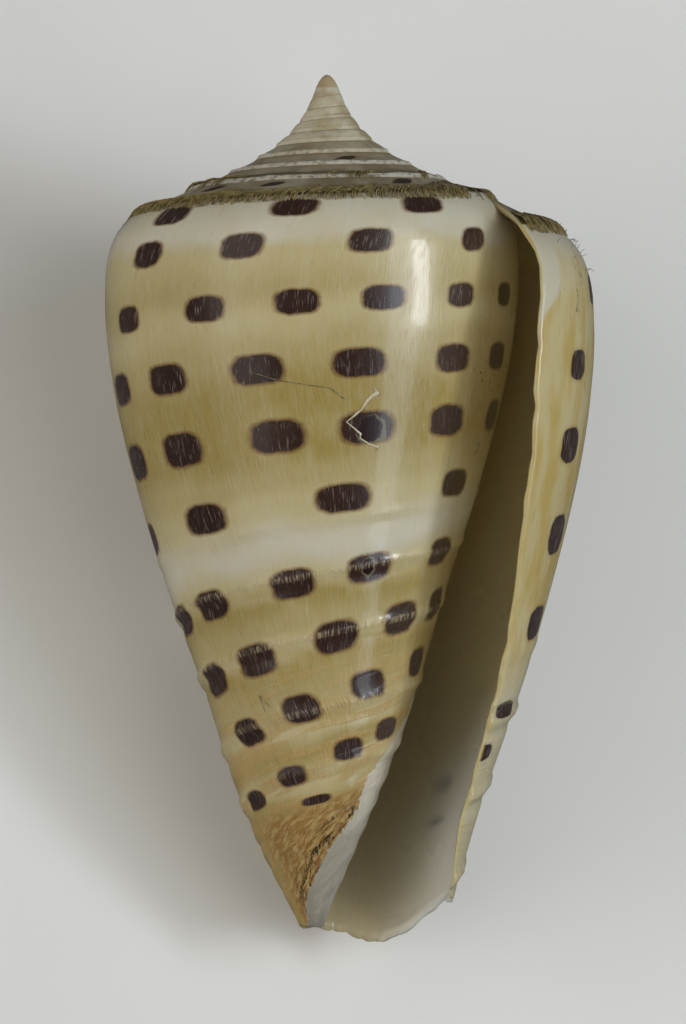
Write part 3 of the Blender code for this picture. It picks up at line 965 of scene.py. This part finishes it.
def use_group(graph, tree, **inputs):
    """Places a node group in a material and feeds its inputs, with underscores for spaces."""
    node = graph.add("ShaderNodeGroup", node_tree=tree)
    for name, value in inputs.items():
        graph.feed(node.inputs[name.replace("_", " ")], value)
    return node.outputs


def new_material(name):
    """A material whose graph starts with its Principled shader."""
    material = bpy.data.materials.new(name)
    material.use_nodes = True
    return material, Graph(material.node_tree), material.node_tree.nodes["Principled BSDF"].inputs


def coat_material(groups, colours):
    """The body's coat: white, cream and ochre bands, growth lines, spots with their flakes, combed ridges,
    the stained base, the glaze beside the aperture, and the yellow lip."""
    material, graph, shader = new_material("coat")
    place = graph.attribute("place")
    turn, depth, _ = graph.separate(place)
    marks = graph.separate(graph.attribute("marks"))
    solid = graph.solid()
    lines = use_group(graph, groups["lines"], Place=place)
    cloud = graph.noise(solid, 230.0, 2.0, 0.5)
    patch = graph.noise(solid, 520.0, 3.0, 0.55)
    fine = graph.noise(solid, 2600.0, 3.0, 0.6)

    def drawn(across, down, detail=2.0, roughness=0.6, slant=0.0):
        """Noise stretched along the turns or along the depth. Slant tilts its lines up towards the
        aperture, in mm per turn."""
        tilted = graph.plus(depth, graph.times(turn, slant))
        stretched = graph.combine(graph.times(turn, across), graph.times(tilted, down))
        return graph.noise(stretched, 1.0, detail, roughness)

    comb = drawn(330.0, 1.4)

    # Bands down the body, with growth lines and hairlines on them
    level = graph.plus(depth, graph.times(graph.minus(cloud, 0.5), 2.6))
    level = graph.math("DIVIDE", level, BODY_LENGTH)
    cream, ochre, white = (tuple(c) for c in (colours.cream, colours.ochre, colours.white))
    dull = tuple(0.5 * (a + b) for a, b in zip(cream, ochre))
    colour = graph.ramp(level, (
        (0.01, white), (0.055, white), (0.085, cream), (0.15, dull), (0.19, cream), (0.235, dull),
        (0.30, ochre), (0.375, ochre), (0.42, dull), (0.46, cream), (0.52, white), (0.56, cream),
        (0.59, ochre), (0.63, dull), (0.655, cream), (0.68, ochre), (0.73, dull), (0.755, cream),
        (0.785, ochre), (0.82, cream), (0.85, ochre),
    ))
    colour = graph.mix(graph.span(patch, 0.42, 0.70, 0.0, 0.30), colour, cream)
    colour = graph.mix(graph.span(lines["Lines"], 0.42, 0.66, 0.0, 0.16), colour, white)
    hairline = graph.span(drawn(760.0, 0.45, 1.0, 0.5), 0.69, 0.75)
    hairline = graph.times(hairline, graph.span(patch, 0.46, 0.60))
    colour = graph.mix(graph.times(hairline, 0.5), colour, HAIRLINE)

    # Combed fuzz in bands between the lower ridges
    low = graph.span(depth, 18.5, 23.5)
    fuzzy = graph.times(graph.span(drawn(7.0, 2.1, 2.0, 0.5, 3.0), 0.44, 0.56), low)
    fuzzy = graph.times(fuzzy, graph.span(comb, 0.30, 0.62, 0.35, 1.0))
    colour = graph.mix(graph.times(fuzzy, 0.8), colour, FUZZ)

    # Rusty, fibrous stain on the base
    fibres = drawn(34.0, 5.2, 4.0, 0.7, 8.0)
    stained = graph.span(marks[1], 0.05, 0.45)
    rust = graph.times(stained, graph.span(fibres, 0.38, 0.58))
    rust = graph.times(rust, graph.span(comb, 0.25, 0.55, 0.45, 1.0))
    colour = graph.mix(graph.times(stained, 0.6), colour, BASE_TAN)
    colour = graph.mix(rust, colour, tuple(colours.stain))
    deep = graph.times(graph.span(marks[1], 0.45, 0.95), graph.span(fibres, 0.47, 0.62))
    colour = graph.mix(deep, colour, DEEP_RUST)

    # Spots with their soft rims, scratches and flakes. They fade where the stain is strong
    spot = use_group(graph, groups["spot"], Spot=graph.attribute("spot"), Roughening=fine)
    fresh = graph.span(marks[1], 0.9, 0.3)
    halo = graph.times(graph.times(spot["Halo"], 0.85), fresh)
    colour = graph.mix(halo, colour, tuple(colours.halo))
    dusty = graph.span(turn, 0.95, 0.72, 0.35, 0.85)
    core = graph.mix(graph.times(lines["Scratches"], dusty), tuple(colours.spot), SPOT_SCRATCH)
    core = graph.mix(graph.span(patch, 0.35, 0.7, 0.0, 0.22), core, SPOT_CLOUD)
    for flake_turn, flake_depth, size in FLAKES:
        flake = use_group(graph, groups["flake"], Place=place, Roughening=fine, Turn=flake_turn,
                          Depth=flake_depth, Size=size)
        core = graph.mix(flake["Patch"], core, FLAKE_RIM)
        core = graph.mix(flake["Bare"], core, FLAKE_BARE)
    colour = graph.mix(graph.times(spot["Core"], fresh), colour, core)

    # Worn, combed crests of the ridges
    crest = graph.times(graph.span(marks[2], 0.45, 0.95), graph.span(depth, 24.5, 20.5, 0.35, 1.0))
    cord = graph.times(crest, graph.span(comb, 0.46, 0.62, 0.08, 1.0))
    colour = graph.mix(graph.times(cord, 0.5), colour, RIDGE_CREST)

    # Specks of grime in the stain, and the glaze with its torn edge
    clumps = graph.span(drawn(9.0, 2.6, 2.0, 0.5, 8.0), 0.50, 0.56)
    grime = graph.times(graph.span(marks[1], 0.62, 0.9), clumps)
    grime = graph.times(grime, graph.span(drawn(170.0, 3.5, 2.0, 0.6, 8.0), 0.46, 0.56))
    colour = graph.mix(grime, colour, GRIME)
    ragged = graph.minus(drawn(70.0, 5.0), 0.5)
    torn = graph.plus(marks[0], graph.times(ragged, 0.9))
    glaze = graph.span(torn, 0.42, 0.56)
    # The glaze is milky above and grey at the base, where the grey is partly painted shade
    glaze_tone = graph.mix(graph.span(depth, 27.6, 26.4), GLAZE_SHADED, GLAZE_MILKY)
    colour = graph.mix(glaze, colour, glaze_tone)

    # Pinholes beside the aperture
    near = graph.times(graph.span(turn, 0.985, 1.015), graph.span(turn, 1.08, 1.05))
    near = graph.times(near, graph.times(graph.span(depth, 6.6, 7.2), graph.span(depth, 10.2, 9.2)))
    pins = graph.add("ShaderNodeTexVoronoi", {"Vector": solid, "Scale": 3000.0}).outputs["Distance"]
    colour = graph.mix(graph.times(graph.span(pins, 0.17, 0.12), near), colour, PINHOLE)

    # Yellow streaks on the lip, and its edge
    lip = graph.times(graph.span(turn, 0.15, 0.06), graph.span(depth, 0.3, 1.6))
    yellow = graph.mix(graph.span(drawn(60.0, 0.35, 2.0, 0.5), 0.40, 0.62), LIP_CREAM, LIP_STREAK)
    yellow = graph.mix(graph.span(depth, 14.5, 17.5), yellow, LIP_LOWER)
    pale = graph.times(graph.minus(1.0, spot["Core"]), lip)
    colour = graph.mix(graph.times(pale, 0.75), colour, yellow)
    edge = graph.times(graph.span(depth, 3.6, 2.0), 0.02)
    rim = graph.mix(graph.span(depth, 3.0, 5.0), LIP_EDGE_WHITE, LIP_EDGE_YELLOW)
    colour = graph.mix(graph.span(graph.minus(turn, edge), 0.006, -0.002), colour, rim)

    graph.feed(shader["Base Color"], colour)
    rough = graph.span(lines["Lines"], 0.3, 0.7, 0.26, 0.36)
    graph.feed(shader["Roughness"], graph.plus(rough, graph.times(stained, 0.25)))
    set_values(shader, {
        "Coat Weight": 0.40, "Coat Roughness": 0.08, "IOR": 1.55, "Subsurface Weight": 0.12,
        "Subsurface Radius": WARM_BLEED, "Subsurface Scale": 0.6 * MM,
    })
    relief = graph.plus(graph.times(lines["Lines"], 0.25), graph.times(cord, 1.6))
    relief = graph.minus(relief, graph.times(lines["Scratches"], 0.20))
    relief = graph.plus(relief, graph.times(graph.plus(rust, fuzzy), 1.2))
    graph.feed(shader["Normal"], graph.bump(relief, 0.018 * MM))
    return material


def spire_material(groups, colours):
    """The spire: grey-tan ledges with a brown skin on their outer part, dark blotches, a brown seam at
    the suture and a worn white cord, and bone-coloured first turns."""
    material, graph, shader = new_material("spire")
    place = graph.attribute("place")
    turn, depth, _ = graph.separate(place)
    share = graph.times(depth, -1.0)
    solid = graph.solid()
    cloud = graph.noise(solid, 900.0, 3.0, 0.6)
    fine = graph.noise(solid, 4200.0, 3.0, 0.6)
    combed = graph.combine(graph.times(turn, 420.0), graph.times(share, 1.2))
    comb = graph.noise(combed, 1.0, 2.0)

    # The share of the ledge with a ragged edge, for the skin, the seam at the suture and the worn cord
    rubbed = graph.plus(share, graph.times(graph.minus(cloud, 0.5), 0.35))
    tan = graph.mix(graph.span(cloud, 0.35, 0.65), LEDGE_DARK, LEDGE_PALE)
    edge = graph.span(rubbed, 0.60, 0.46)
    kept = graph.span(turn, 2.15, 1.7)
    skin = graph.times(graph.times(edge, kept), graph.span(comb, 0.25, 0.5, 0.5, 1.0))
    colour = graph.mix(skin, tan, tuple(colours.fringe))
    spot = use_group(graph, groups["spot"], Spot=graph.attribute("spot"), Roughening=fine)
    colour = graph.mix(graph.times(spot["Halo"], 0.7), colour, BLOTCH_HALO)
    colour = graph.mix(graph.times(spot["Core"], 0.9), colour, BLOTCH)
    seam = graph.times(graph.span(rubbed, 0.80, 0.98), graph.span(turn, 1.2, 2.2))
    colour = graph.mix(graph.times(seam, 0.7), colour, SEAM)
    worn = graph.times(graph.span(rubbed, 0.20, 0.04), graph.span(turn, 0.80, 1.05))
    worn = graph.times(worn, graph.span(fine, 0.34, 0.56, 0.2, 1.0))
    colour = graph.mix(worn, colour, WORN_CORD)

    # The first turns are bone-coloured
    early = graph.span(turn, 3.2, 4.8)
    bone = graph.mix(graph.span(cloud, 0.35, 0.6), BONE_TAN, BONE_PALE)
    bone = graph.mix(graph.times(seam, 0.6), bone, BONE_SEAM)
    colour = graph.mix(early, colour, bone)

    graph.feed(shader["Base Color"], colour)
    graph.feed(shader["Roughness"], graph.span(cloud, 0.3, 0.7, 0.45, 0.7))
    set_values(shader, {
        "Subsurface Weight": 0.08, "Subsurface Radius": WARM_BLEED, "Subsurface Scale": 0.4 * MM,
    })
    relief = graph.plus(fine, graph.times(graph.times(comb, skin), 2.0))
    graph.feed(shader["Normal"], graph.bump(relief, 0.03 * MM))
    return material


def lining_material(groups, colours):
    """The aperture's lining: glossy porcelain with painted olive shade the further in it goes, made
    lighter in the upper part as painted light through the thin wall, and the lip's spots showing
    through as grey-blue patches."""
    material, graph, shader = new_material("lining")
    place = graph.attribute("place")
    turn, depth, _ = graph.separate(place)
    lines = use_group(graph, groups["lines"], Place=place)
    solid = graph.solid()
    cloud = graph.noise(solid, 300.0, 2.0, 0.5)
    # Painted shade: olive further in from the lip, with a wider porcelain band along the lip lower down; the
    # upper olive is lighter as painted light through the thin wall
    inward = graph.plus(turn, graph.times(graph.minus(cloud, 0.5), 0.03))
    lower = graph.span(depth, 12.0, 24.0)
    shade = graph.span(inward, graph.plus(0.01, graph.times(lower, 0.06)),
                       graph.plus(0.10, graph.times(lower, 0.15)))
    painted_shade = graph.mix(graph.span(depth, 8.0, 25.0), OLIVE_SHADE_LIT_UPPER, OLIVE_SHADE_LOWER)
    colour = graph.mix(shade, tuple(colours.porcelain), painted_shade)
    away = graph.separate(graph.attribute("spot"))[2]
    through = graph.times(graph.span(away, 0.16, -0.35), graph.span(turn, 0.24, 0.10))
    through = graph.times(through, graph.span(depth, 20.0, 23.0, 0.1, 1.0))
    colour = graph.mix(graph.times(through, 0.85), colour, SPOT_BEHIND)
    brim = graph.mix(graph.span(depth, 20.0, 23.0), BRIM, tuple(colours.cream))
    colour = graph.mix(graph.span(turn, 0.010, 0.003), colour, brim)
    colour = graph.mix(graph.span(lines["Lines"], 0.4, 0.7, 0.0, 0.15), colour, LINING_LINES)
    graph.feed(shader["Base Color"], colour)
    graph.feed(shader["Roughness"], graph.span(cloud, 0.3, 0.7, 0.18, 0.3))
    set_values(shader, {
        "Coat Weight": 0.4, "Coat Roughness": 0.1, "Subsurface Weight": 0.15,
        "Subsurface Radius": PALE_BLEED, "Subsurface Scale": 0.6 * MM,
    })
    graph.feed(shader["Normal"], graph.bump(lines["Lines"], 0.006 * MM))
    return material


def fibre_material(name, root_colour, tip_colour, roughness):
    """Fibres: a colour that changes by noise along them."""
    material, graph, shader = new_material(name)
    solid = graph.solid()
    grain = graph.noise(solid, 5200.0, 2.0, 0.6)
    graph.feed(shader["Base Color"], graph.mix(graph.span(grain, 0.35, 0.65), root_colour, tip_colour))
    graph.feed(shader["Roughness"], graph.span(grain, 0.3, 0.7, roughness, roughness + 0.15))
    graph.feed(shader["Normal"], graph.bump(grain, 0.01 * MM))
    return material


def base_marks(turn, depth):
    """Masks for the coat: the polished glaze beside the aperture, the stained base, and the ridges.

    The glaze starts at a curve of turn over depth. The stain is stronger the nearer it is to it.
    """
    edge = smooth_curve(depth, GLAZE_EDGE)
    glaze = ease(turn - edge, -0.04, 0.04) * ease(depth, 21.5, 23.5)
    glaze = np.maximum(glaze, ease(turn, 1.07, 1.14) * 0.9)
    near = ease(turn - edge, -0.16, -0.01)
    stain = ease(depth, 25.3, 26.6) * ease(turn, 0.50, 0.66) * (0.5 + 0.5 * near)
    ridges = np.clip(ridge_profile(depth), 0, 1) * (1 - ease(glaze, 0.3, 0.6))
    return np.stack([glaze, stain, ridges], -1)


def tubes(paths, outwards, half_width, half_height, sides):
    """Closed tubes round many paths at once, as one list of points and one of triangles.

    Each ring is an ellipse across its path: half_width to the side and half_height outwards. The paths
    have the same number of points, and each end closes on the path's own point there.
    """
    count, steps = paths.shape[:2]
    ahead = np.gradient(paths, axis=1)
    ahead /= np.linalg.norm(ahead, axis=2, keepdims=True)
    side = np.cross(ahead, outwards)
    side /= np.linalg.norm(side, axis=2, keepdims=True)
    up = np.cross(side, ahead)
    angle = (np.arange(sides) + 0.5) / sides * 2 * np.pi
    ring = side[:, :, None] * np.cos(angle)[:, None] * np.asarray(half_width)[..., None, None]
    ring = ring + up[:, :, None] * np.sin(angle)[:, None] * np.asarray(half_height)[..., None, None]
    rings = (paths[:, :, None] + ring).reshape(count, steps * sides, 3)
    points = np.concatenate([rings, paths[:, :1], paths[:, -1:]], axis=1)
    numbers = np.arange(steps * sides).reshape(steps, sides)
    numbers = np.hstack([numbers, numbers[:, :1]])
    faces = np.concatenate([
        quads(numbers), fan(numbers[0, ::-1], steps * sides), fan(numbers[-1], steps * sides + 1),
    ])
    starts = np.arange(count)[:, None, None] * points.shape[1]
    return points.reshape(-1, 3), (faces + starts).reshape(-1, 3)


def ledge_or_edge(turn, share):
    """Points on the ledge, or just past its shoulder for a share below 0, where they bend down the
    body's side by twice that share in mm."""
    on_ledge = ledge_top(turn, np.clip(share, 0, 1))
    past = outer_wall(turn, np.clip(-2.0 * share, 0, EDGE_ROWS[2]))
    return np.where((share < 0)[..., None], past, on_ledge)


def fringe_surface(spacing, thickness):
    """The fringe: fibres that lie side by side across the ledges of the last two turns.

    Each fibre runs from a random share of the ledge out over the shoulder, lifted off the ledge by a
    half sine. A slow random curve decides where the skin is worn away and how long it is.
    """
    random = np.random.default_rng(RANDOM_SEED)
    steps = np.linspace(0, 1, FIBRE_POINTS)
    turns = np.arange(*FRINGE_TURNS, spacing / (2 * np.pi * SHOULDER_RADIUS))
    kept = wander(turns, 0.035, 61) + 0.5 * wander(turns, 0.011, 62)
    worn = np.where(turns < 1.0, -2.0, np.where(turns < 1.35, -0.35, 0.25))
    worn = np.where((turns > FRINGE_BARE[0]) & (turns < FRINGE_BARE[1]), 0.9, worn)
    turns = turns[(kept > worn) & (random.uniform(0, 1, len(turns)) > 0.06)]
    turns = turns + random.uniform(-0.0006, 0.0006, len(turns))
    length = FIBRE_LENGTH + 0.10 * wander(turns, 0.03, 63) + random.uniform(-0.10, 0.08, len(turns))
    length = length + 0.30 * ease(turns, 0.88, 1.0) * ease(turns, 1.1, 1.02)
    tip = random.uniform(*FIBRE_TIP, len(turns))
    share = length[:, None] * (1 - steps) + tip[:, None] * steps
    slant = random.uniform(-0.0004, 0.0012, len(turns))[:, None] * steps ** 1.5
    turn = turns[:, None] + slant
    paths = ledge_or_edge(turn, share)
    outwards = fringe_outwards(turn, share)
    lift = 0.03 + random.uniform(*FIBRE_LIFT, len(turns))[:, None] * np.sin(np.pi * steps ** 1.3)
    shrink = WIDENING ** -turns
    paths = paths + outwards * (lift * shrink[:, None])[..., None]
    taper = 0.45 + 0.55 * np.sin(np.pi * np.clip(steps * 0.8 + 0.12, 0, 1))
    half = 0.5 * thickness * random.uniform(0.75, 1.25, len(turns))[:, None] * taper * shrink[:, None]
    return tubes(paths, outwards, half, half, 4)


def fringe_outwards(turn, share):
    """Directions straight out of the ledge: the cross product of its two slopes, by small steps."""
    step = 1e-3
    along = ledge_or_edge(turn + step, share) - ledge_or_edge(turn - step, share)
    across = ledge_or_edge(turn, share + step) - ledge_or_edge(turn, share - step)
    out = np.cross(along, across)
    out *= np.sign(out[..., 2:])
    return out / np.linalg.norm(out, axis=-1, keepdims=True)


def coat_outwards(turn, depth):
    """Directions straight out of the coat, in the standing shell: away from its axis."""
    away = outer_wall(turn, depth) * [1.0, 1.0, 0.0]
    return away / np.linalg.norm(away, axis=-1, keepdims=True)


def flake_surface():
    """The flake's raised edge: a flat tube along its line on the coat, wider where the flake lifts."""
    turn, depth = np.array(FLAKE_EDGE).T
    out = coat_outwards(turn, depth)[None]
    half_width = 0.5 * np.array(FLAKE_EDGE_WIDTHS)[None]
    points, faces = tubes(outer_wall(turn, depth)[None] + out * 0.02, out, half_width, 0.45 * half_width, 8)
    return placed(points), faces


def lint_surface():
    """Hairs of lint: the listed ones lie on the coat, and short ones at random stand off the shoulder
    and the lip's outer side, each bent by a random curve."""
    random = np.random.default_rng(RANDOM_SEED + 1)
    blocks = []
    for line in LINT:
        listed = np.array(line)
        at = np.linspace(0, 1, HAIR_POINTS)
        turn, depth = (np.interp(at, np.linspace(0, 1, len(listed)), column) for column in listed.T)
        blocks.append((outer_wall(turn, depth) + coat_outwards(turn, depth) * 0.03)[None])
    turn = random.uniform(*SHORT_HAIR_TURNS, SHORT_HAIRS)
    depth = random.uniform(0.0, 1.0, SHORT_HAIRS) ** 2 * SHORT_HAIR_DEPTH
    root = outer_wall(turn, depth)
    out = coat_outwards(turn, depth) * 0.6 + random.normal(0, 0.5, (SHORT_HAIRS, 3)) + [0.0, 0.0, 0.35]
    out /= np.linalg.norm(out, axis=1, keepdims=True)
    bend = np.cross(out, random.normal(0, 1, (SHORT_HAIRS, 3)))
    length = random.uniform(*SHORT_HAIR_LENGTH, SHORT_HAIRS)[:, None, None]
    at = np.linspace(-0.1, 1, HAIR_POINTS)[:, None]
    blocks.append(root[:, None] + length * (out[:, None] * at + 0.5 * bend[:, None] * at ** 2))
    paths = np.concatenate(blocks)
    outwards = np.broadcast_to(ACROSS_HAIRS, paths.shape)
    half = np.full(paths.shape[:2], LINT_THICKNESS / 2)
    points, faces = tubes(paths, outwards, half, half, 4)
    return placed(points), faces


class SHELL_OT_surface(bpy.types.Operator):
    """Makes the shell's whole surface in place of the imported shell"""
    bl_idname = "shell.surface"
    bl_label = "Shell surface"

    def execute(self, context):
        sizes = context.scene.shell_sizes
        colours = context.scene.shell_colours
        points, faces, corners, kinds = shell_surface(sizes.columns)
        context.scene["shell_offset"] = find_offset(points)
        groups = {"lines": growth_lines_group(), "spot": spot_group(), "flake": flake_group()}
        materials = [
            coat_material(groups, colours), spire_material(groups, colours), lining_material(groups, colours),
        ]
        piece = new_piece("shell", placed(points), faces, materials)
        mesh = piece.data
        turn, depth = corners[..., 0], corners[..., 1]
        corner_attribute(mesh, "place", np.stack([turn, depth, 0 * turn], -1))
        corner_attribute(mesh, "spot", nearest_spot(turn, depth))
        corner_attribute(mesh, "marks", base_marks(turn, depth))
        mesh.polygons.foreach_set("material_index", kinds.astype(np.int32))
        face_outwards(mesh)
        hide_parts("cone_shell")
        return {"FINISHED"}


class SHELL_OT_fringe(bpy.types.Operator):
    """Makes the fringe of dried skin on the spire's ledges"""
    bl_idname = "shell.fringe"
    bl_label = "Fringe"

    def execute(self, context):
        sizes = context.scene.shell_fringe
        material = fibre_material("fringe", *FRINGE_COLOURS, 0.6)
        points, faces = fringe_surface(sizes.spacing / MM, sizes.thickness / MM)
        piece = new_piece("fringe", placed(points), faces, [material])
        face_outwards(piece.data)
        return {"FINISHED"}


class SHELL_OT_flake(bpy.types.Operator):
    """Makes the raised edge of the flake off one spot"""
    bl_idname = "shell.flake"
    bl_label = "Flake edge"

    def execute(self, context):
        material = fibre_material("flake_edge", *FLAKE_EDGE_COLOURS, 0.3)
        piece = new_piece("flake_edge", *flake_surface(), [material])
        face_outwards(piece.data)
        return {"FINISHED"}


class SHELL_OT_lint(bpy.types.Operator):
    """Makes the hairs of lint that cling to the shell"""
    bl_idname = "shell.lint"
    bl_label = "Lint"

    def execute(self, context):
        material = fibre_material("lint", *LINT_COLOURS, 0.5)
        piece = new_piece("lint", *lint_surface(), [material])
        face_outwards(piece.data)
        return {"FINISHED"}


def lamp(context, name, place, away, up, size, power, colour, glossy):
    """A soft rectangular lamp at a place, facing back along the direction away from the shell."""
    light = bpy.data.lights.new(name, "AREA")
    light.shape = "RECTANGLE"
    light.size, light.size_y = size
    light.energy = power
    light.color = colour
    holder = bpy.data.objects.new(name, light)
    holder.visible_glossy = glossy
    context.scene.collection.objects.link(holder)
    across = up.cross(away).normalized()
    axes = Matrix((across, away.cross(across), away)).transposed().to_4x4()
    holder.matrix_world = Matrix.Translation(place) @ axes


class SHELL_OT_stage(bpy.types.Operator):
    """Makes the floor, the lights and the camera"""
    bl_idname = "shell.stage"
    bl_label = "Stage"

    def execute(self, context):
        look = context.scene.shell_stage
        turned = lying_down().to_3x3()
        tilt, roll = math.radians(CAMERA_TILT), math.radians(CAMERA_ROLL)
        level, rise = Vector((1, 0, 0)), Vector((0, -math.sin(tilt), math.cos(tilt)))
        right = turned @ (level * math.cos(roll) - rise * math.sin(roll))
        up = turned @ (rise * math.cos(roll) + level * math.sin(roll))
        back = right.cross(up)
        self.camera(context, look, right, up, back)
        self.lamps(context, right, up, back)
        self.floor(context, look)
        self.world(context, look)
        return {"FINISHED"}

    def camera(self, context, look, right, up, back):
        """A camera that shows the apex where the photograph has it, at the photograph's scale."""
        pixel = MM_PER_PIXEL * MM
        apex = Vector(context.scene["shell_offset"])
        centre = apex + right * (PHOTO_WIDTH / 2 - APEX_PIXEL[0]) * pixel
        centre = centre - up * (PHOTO_HEIGHT / 2 - APEX_PIXEL[1]) * pixel
        distance = look.lens / SENSOR * PHOTO_HEIGHT * pixel
        camera = bpy.data.cameras.new("camera")
        camera.lens = look.lens
        camera.sensor_width = SENSOR
        camera.clip_start = 0.01
        holder = bpy.data.objects.new("camera", camera)
        context.scene.collection.objects.link(holder)
        axes = Matrix((right, up, back)).transposed().to_4x4()
        holder.matrix_world = Matrix.Translation(centre + back * distance) @ axes
        context.scene.camera = holder
        context.scene.view_settings.view_transform = "Standard"

    def lamps(self, context, right, up, back):
        """The listed lamps, aimed at the shell's middle."""
        middle = Vector(context.scene["shell_offset"]) - up * HALF_LENGTH * MM
        for name, direction, distance, size, power, colour, glossy in LAMPS:
            away = (right * direction[0] + up * direction[1] + back * direction[2]).normalized()
            lamp(context, name, middle + away * distance, away, up, size, power, colour, glossy)

    def world(self, context, look):
        """The even light from all sides."""
        world = bpy.data.worlds.new("studio")
        world.use_nodes = True
        world.node_tree.nodes["Background"].inputs[0].default_value = AMBIENT_COLOUR
        world.node_tree.nodes["Background"].inputs[1].default_value = look.ambient
        context.scene.world = world

    def floor(self, context, look):
        """A wide flat floor under the shell, with a faint grain."""
        mesh = bpy.data.meshes.new("floor")
        half = FLOOR_WIDTH / 2
        corners = [(-half, -half, 0), (half, -half, 0), (half, half, 0), (-half, half, 0)]
        mesh.from_pydata(corners, [], [(0, 1, 2, 3)])
        material, graph, shader = new_material("floor")
        solid = graph.solid()
        grain = graph.noise(solid, 60.0, 3.0, 0.5)
        colour = tuple(look.floor)
        darker = tuple(FLOOR_GRAIN_SHADE * part for part in colour)
        graph.feed(shader["Base Color"], graph.mix(graph.span(grain, 0.3, 0.7), colour, darker))
        shader["Roughness"].default_value = 0.7
        mesh.materials.append(material)
        floor = bpy.data.objects.new("floor", mesh)
        context.scene.collection.objects.link(floor)
        floor.visible_glossy = False


class SHELL_PT_panel(bpy.types.Panel):
    """Lists the shell's pieces and their sizes and colours"""
    bl_idname = "SHELL_PT_panel"
    bl_label = "Cone shell"
    bl_space_type = "VIEW_3D"
    bl_region_type = "UI"
    bl_category = "Shell"

    def draw(self, context):
        for group, operators in (("shell_sizes", ("shell.surface",)), ("shell_colours", ()),
                                 ("shell_fringe", ("shell.fringe", "shell.flake", "shell.lint")),
                                 ("shell_stage", ("shell.stage",))):
            box = self.layout.box()
            settings = getattr(context.scene, group)
            for name in settings.__annotations__:
                box.prop(settings, name)
            for operator in operators:
                box.operator(operator)


GROUPS = {
    "shell_sizes": ShellSizes, "shell_colours": ShellColours, "shell_fringe": FringeSizes,
    "shell_stage": StageLook,
}
CLASSES = (*GROUPS.values(), SHELL_OT_surface, SHELL_OT_fringe, SHELL_OT_flake, SHELL_OT_lint,
           SHELL_OT_stage, SHELL_PT_panel)


def register():
    for each in CLASSES:
        bpy.utils.register_class(each)
    for name, group in GROUPS.items():
        setattr(bpy.types.Scene, name, PointerProperty(type=group))


def unregister():
    for name in GROUPS:
        delattr(bpy.types.Scene, name)
    for each in reversed(CLASSES):
        bpy.utils.unregister_class(each)


def main():
    register()
    bpy.ops.shell.surface()
    bpy.ops.shell.fringe()
    bpy.ops.shell.flake()
    bpy.ops.shell.lint()
    bpy.ops.shell.stage()


if __name__ == "__main__":
    main()
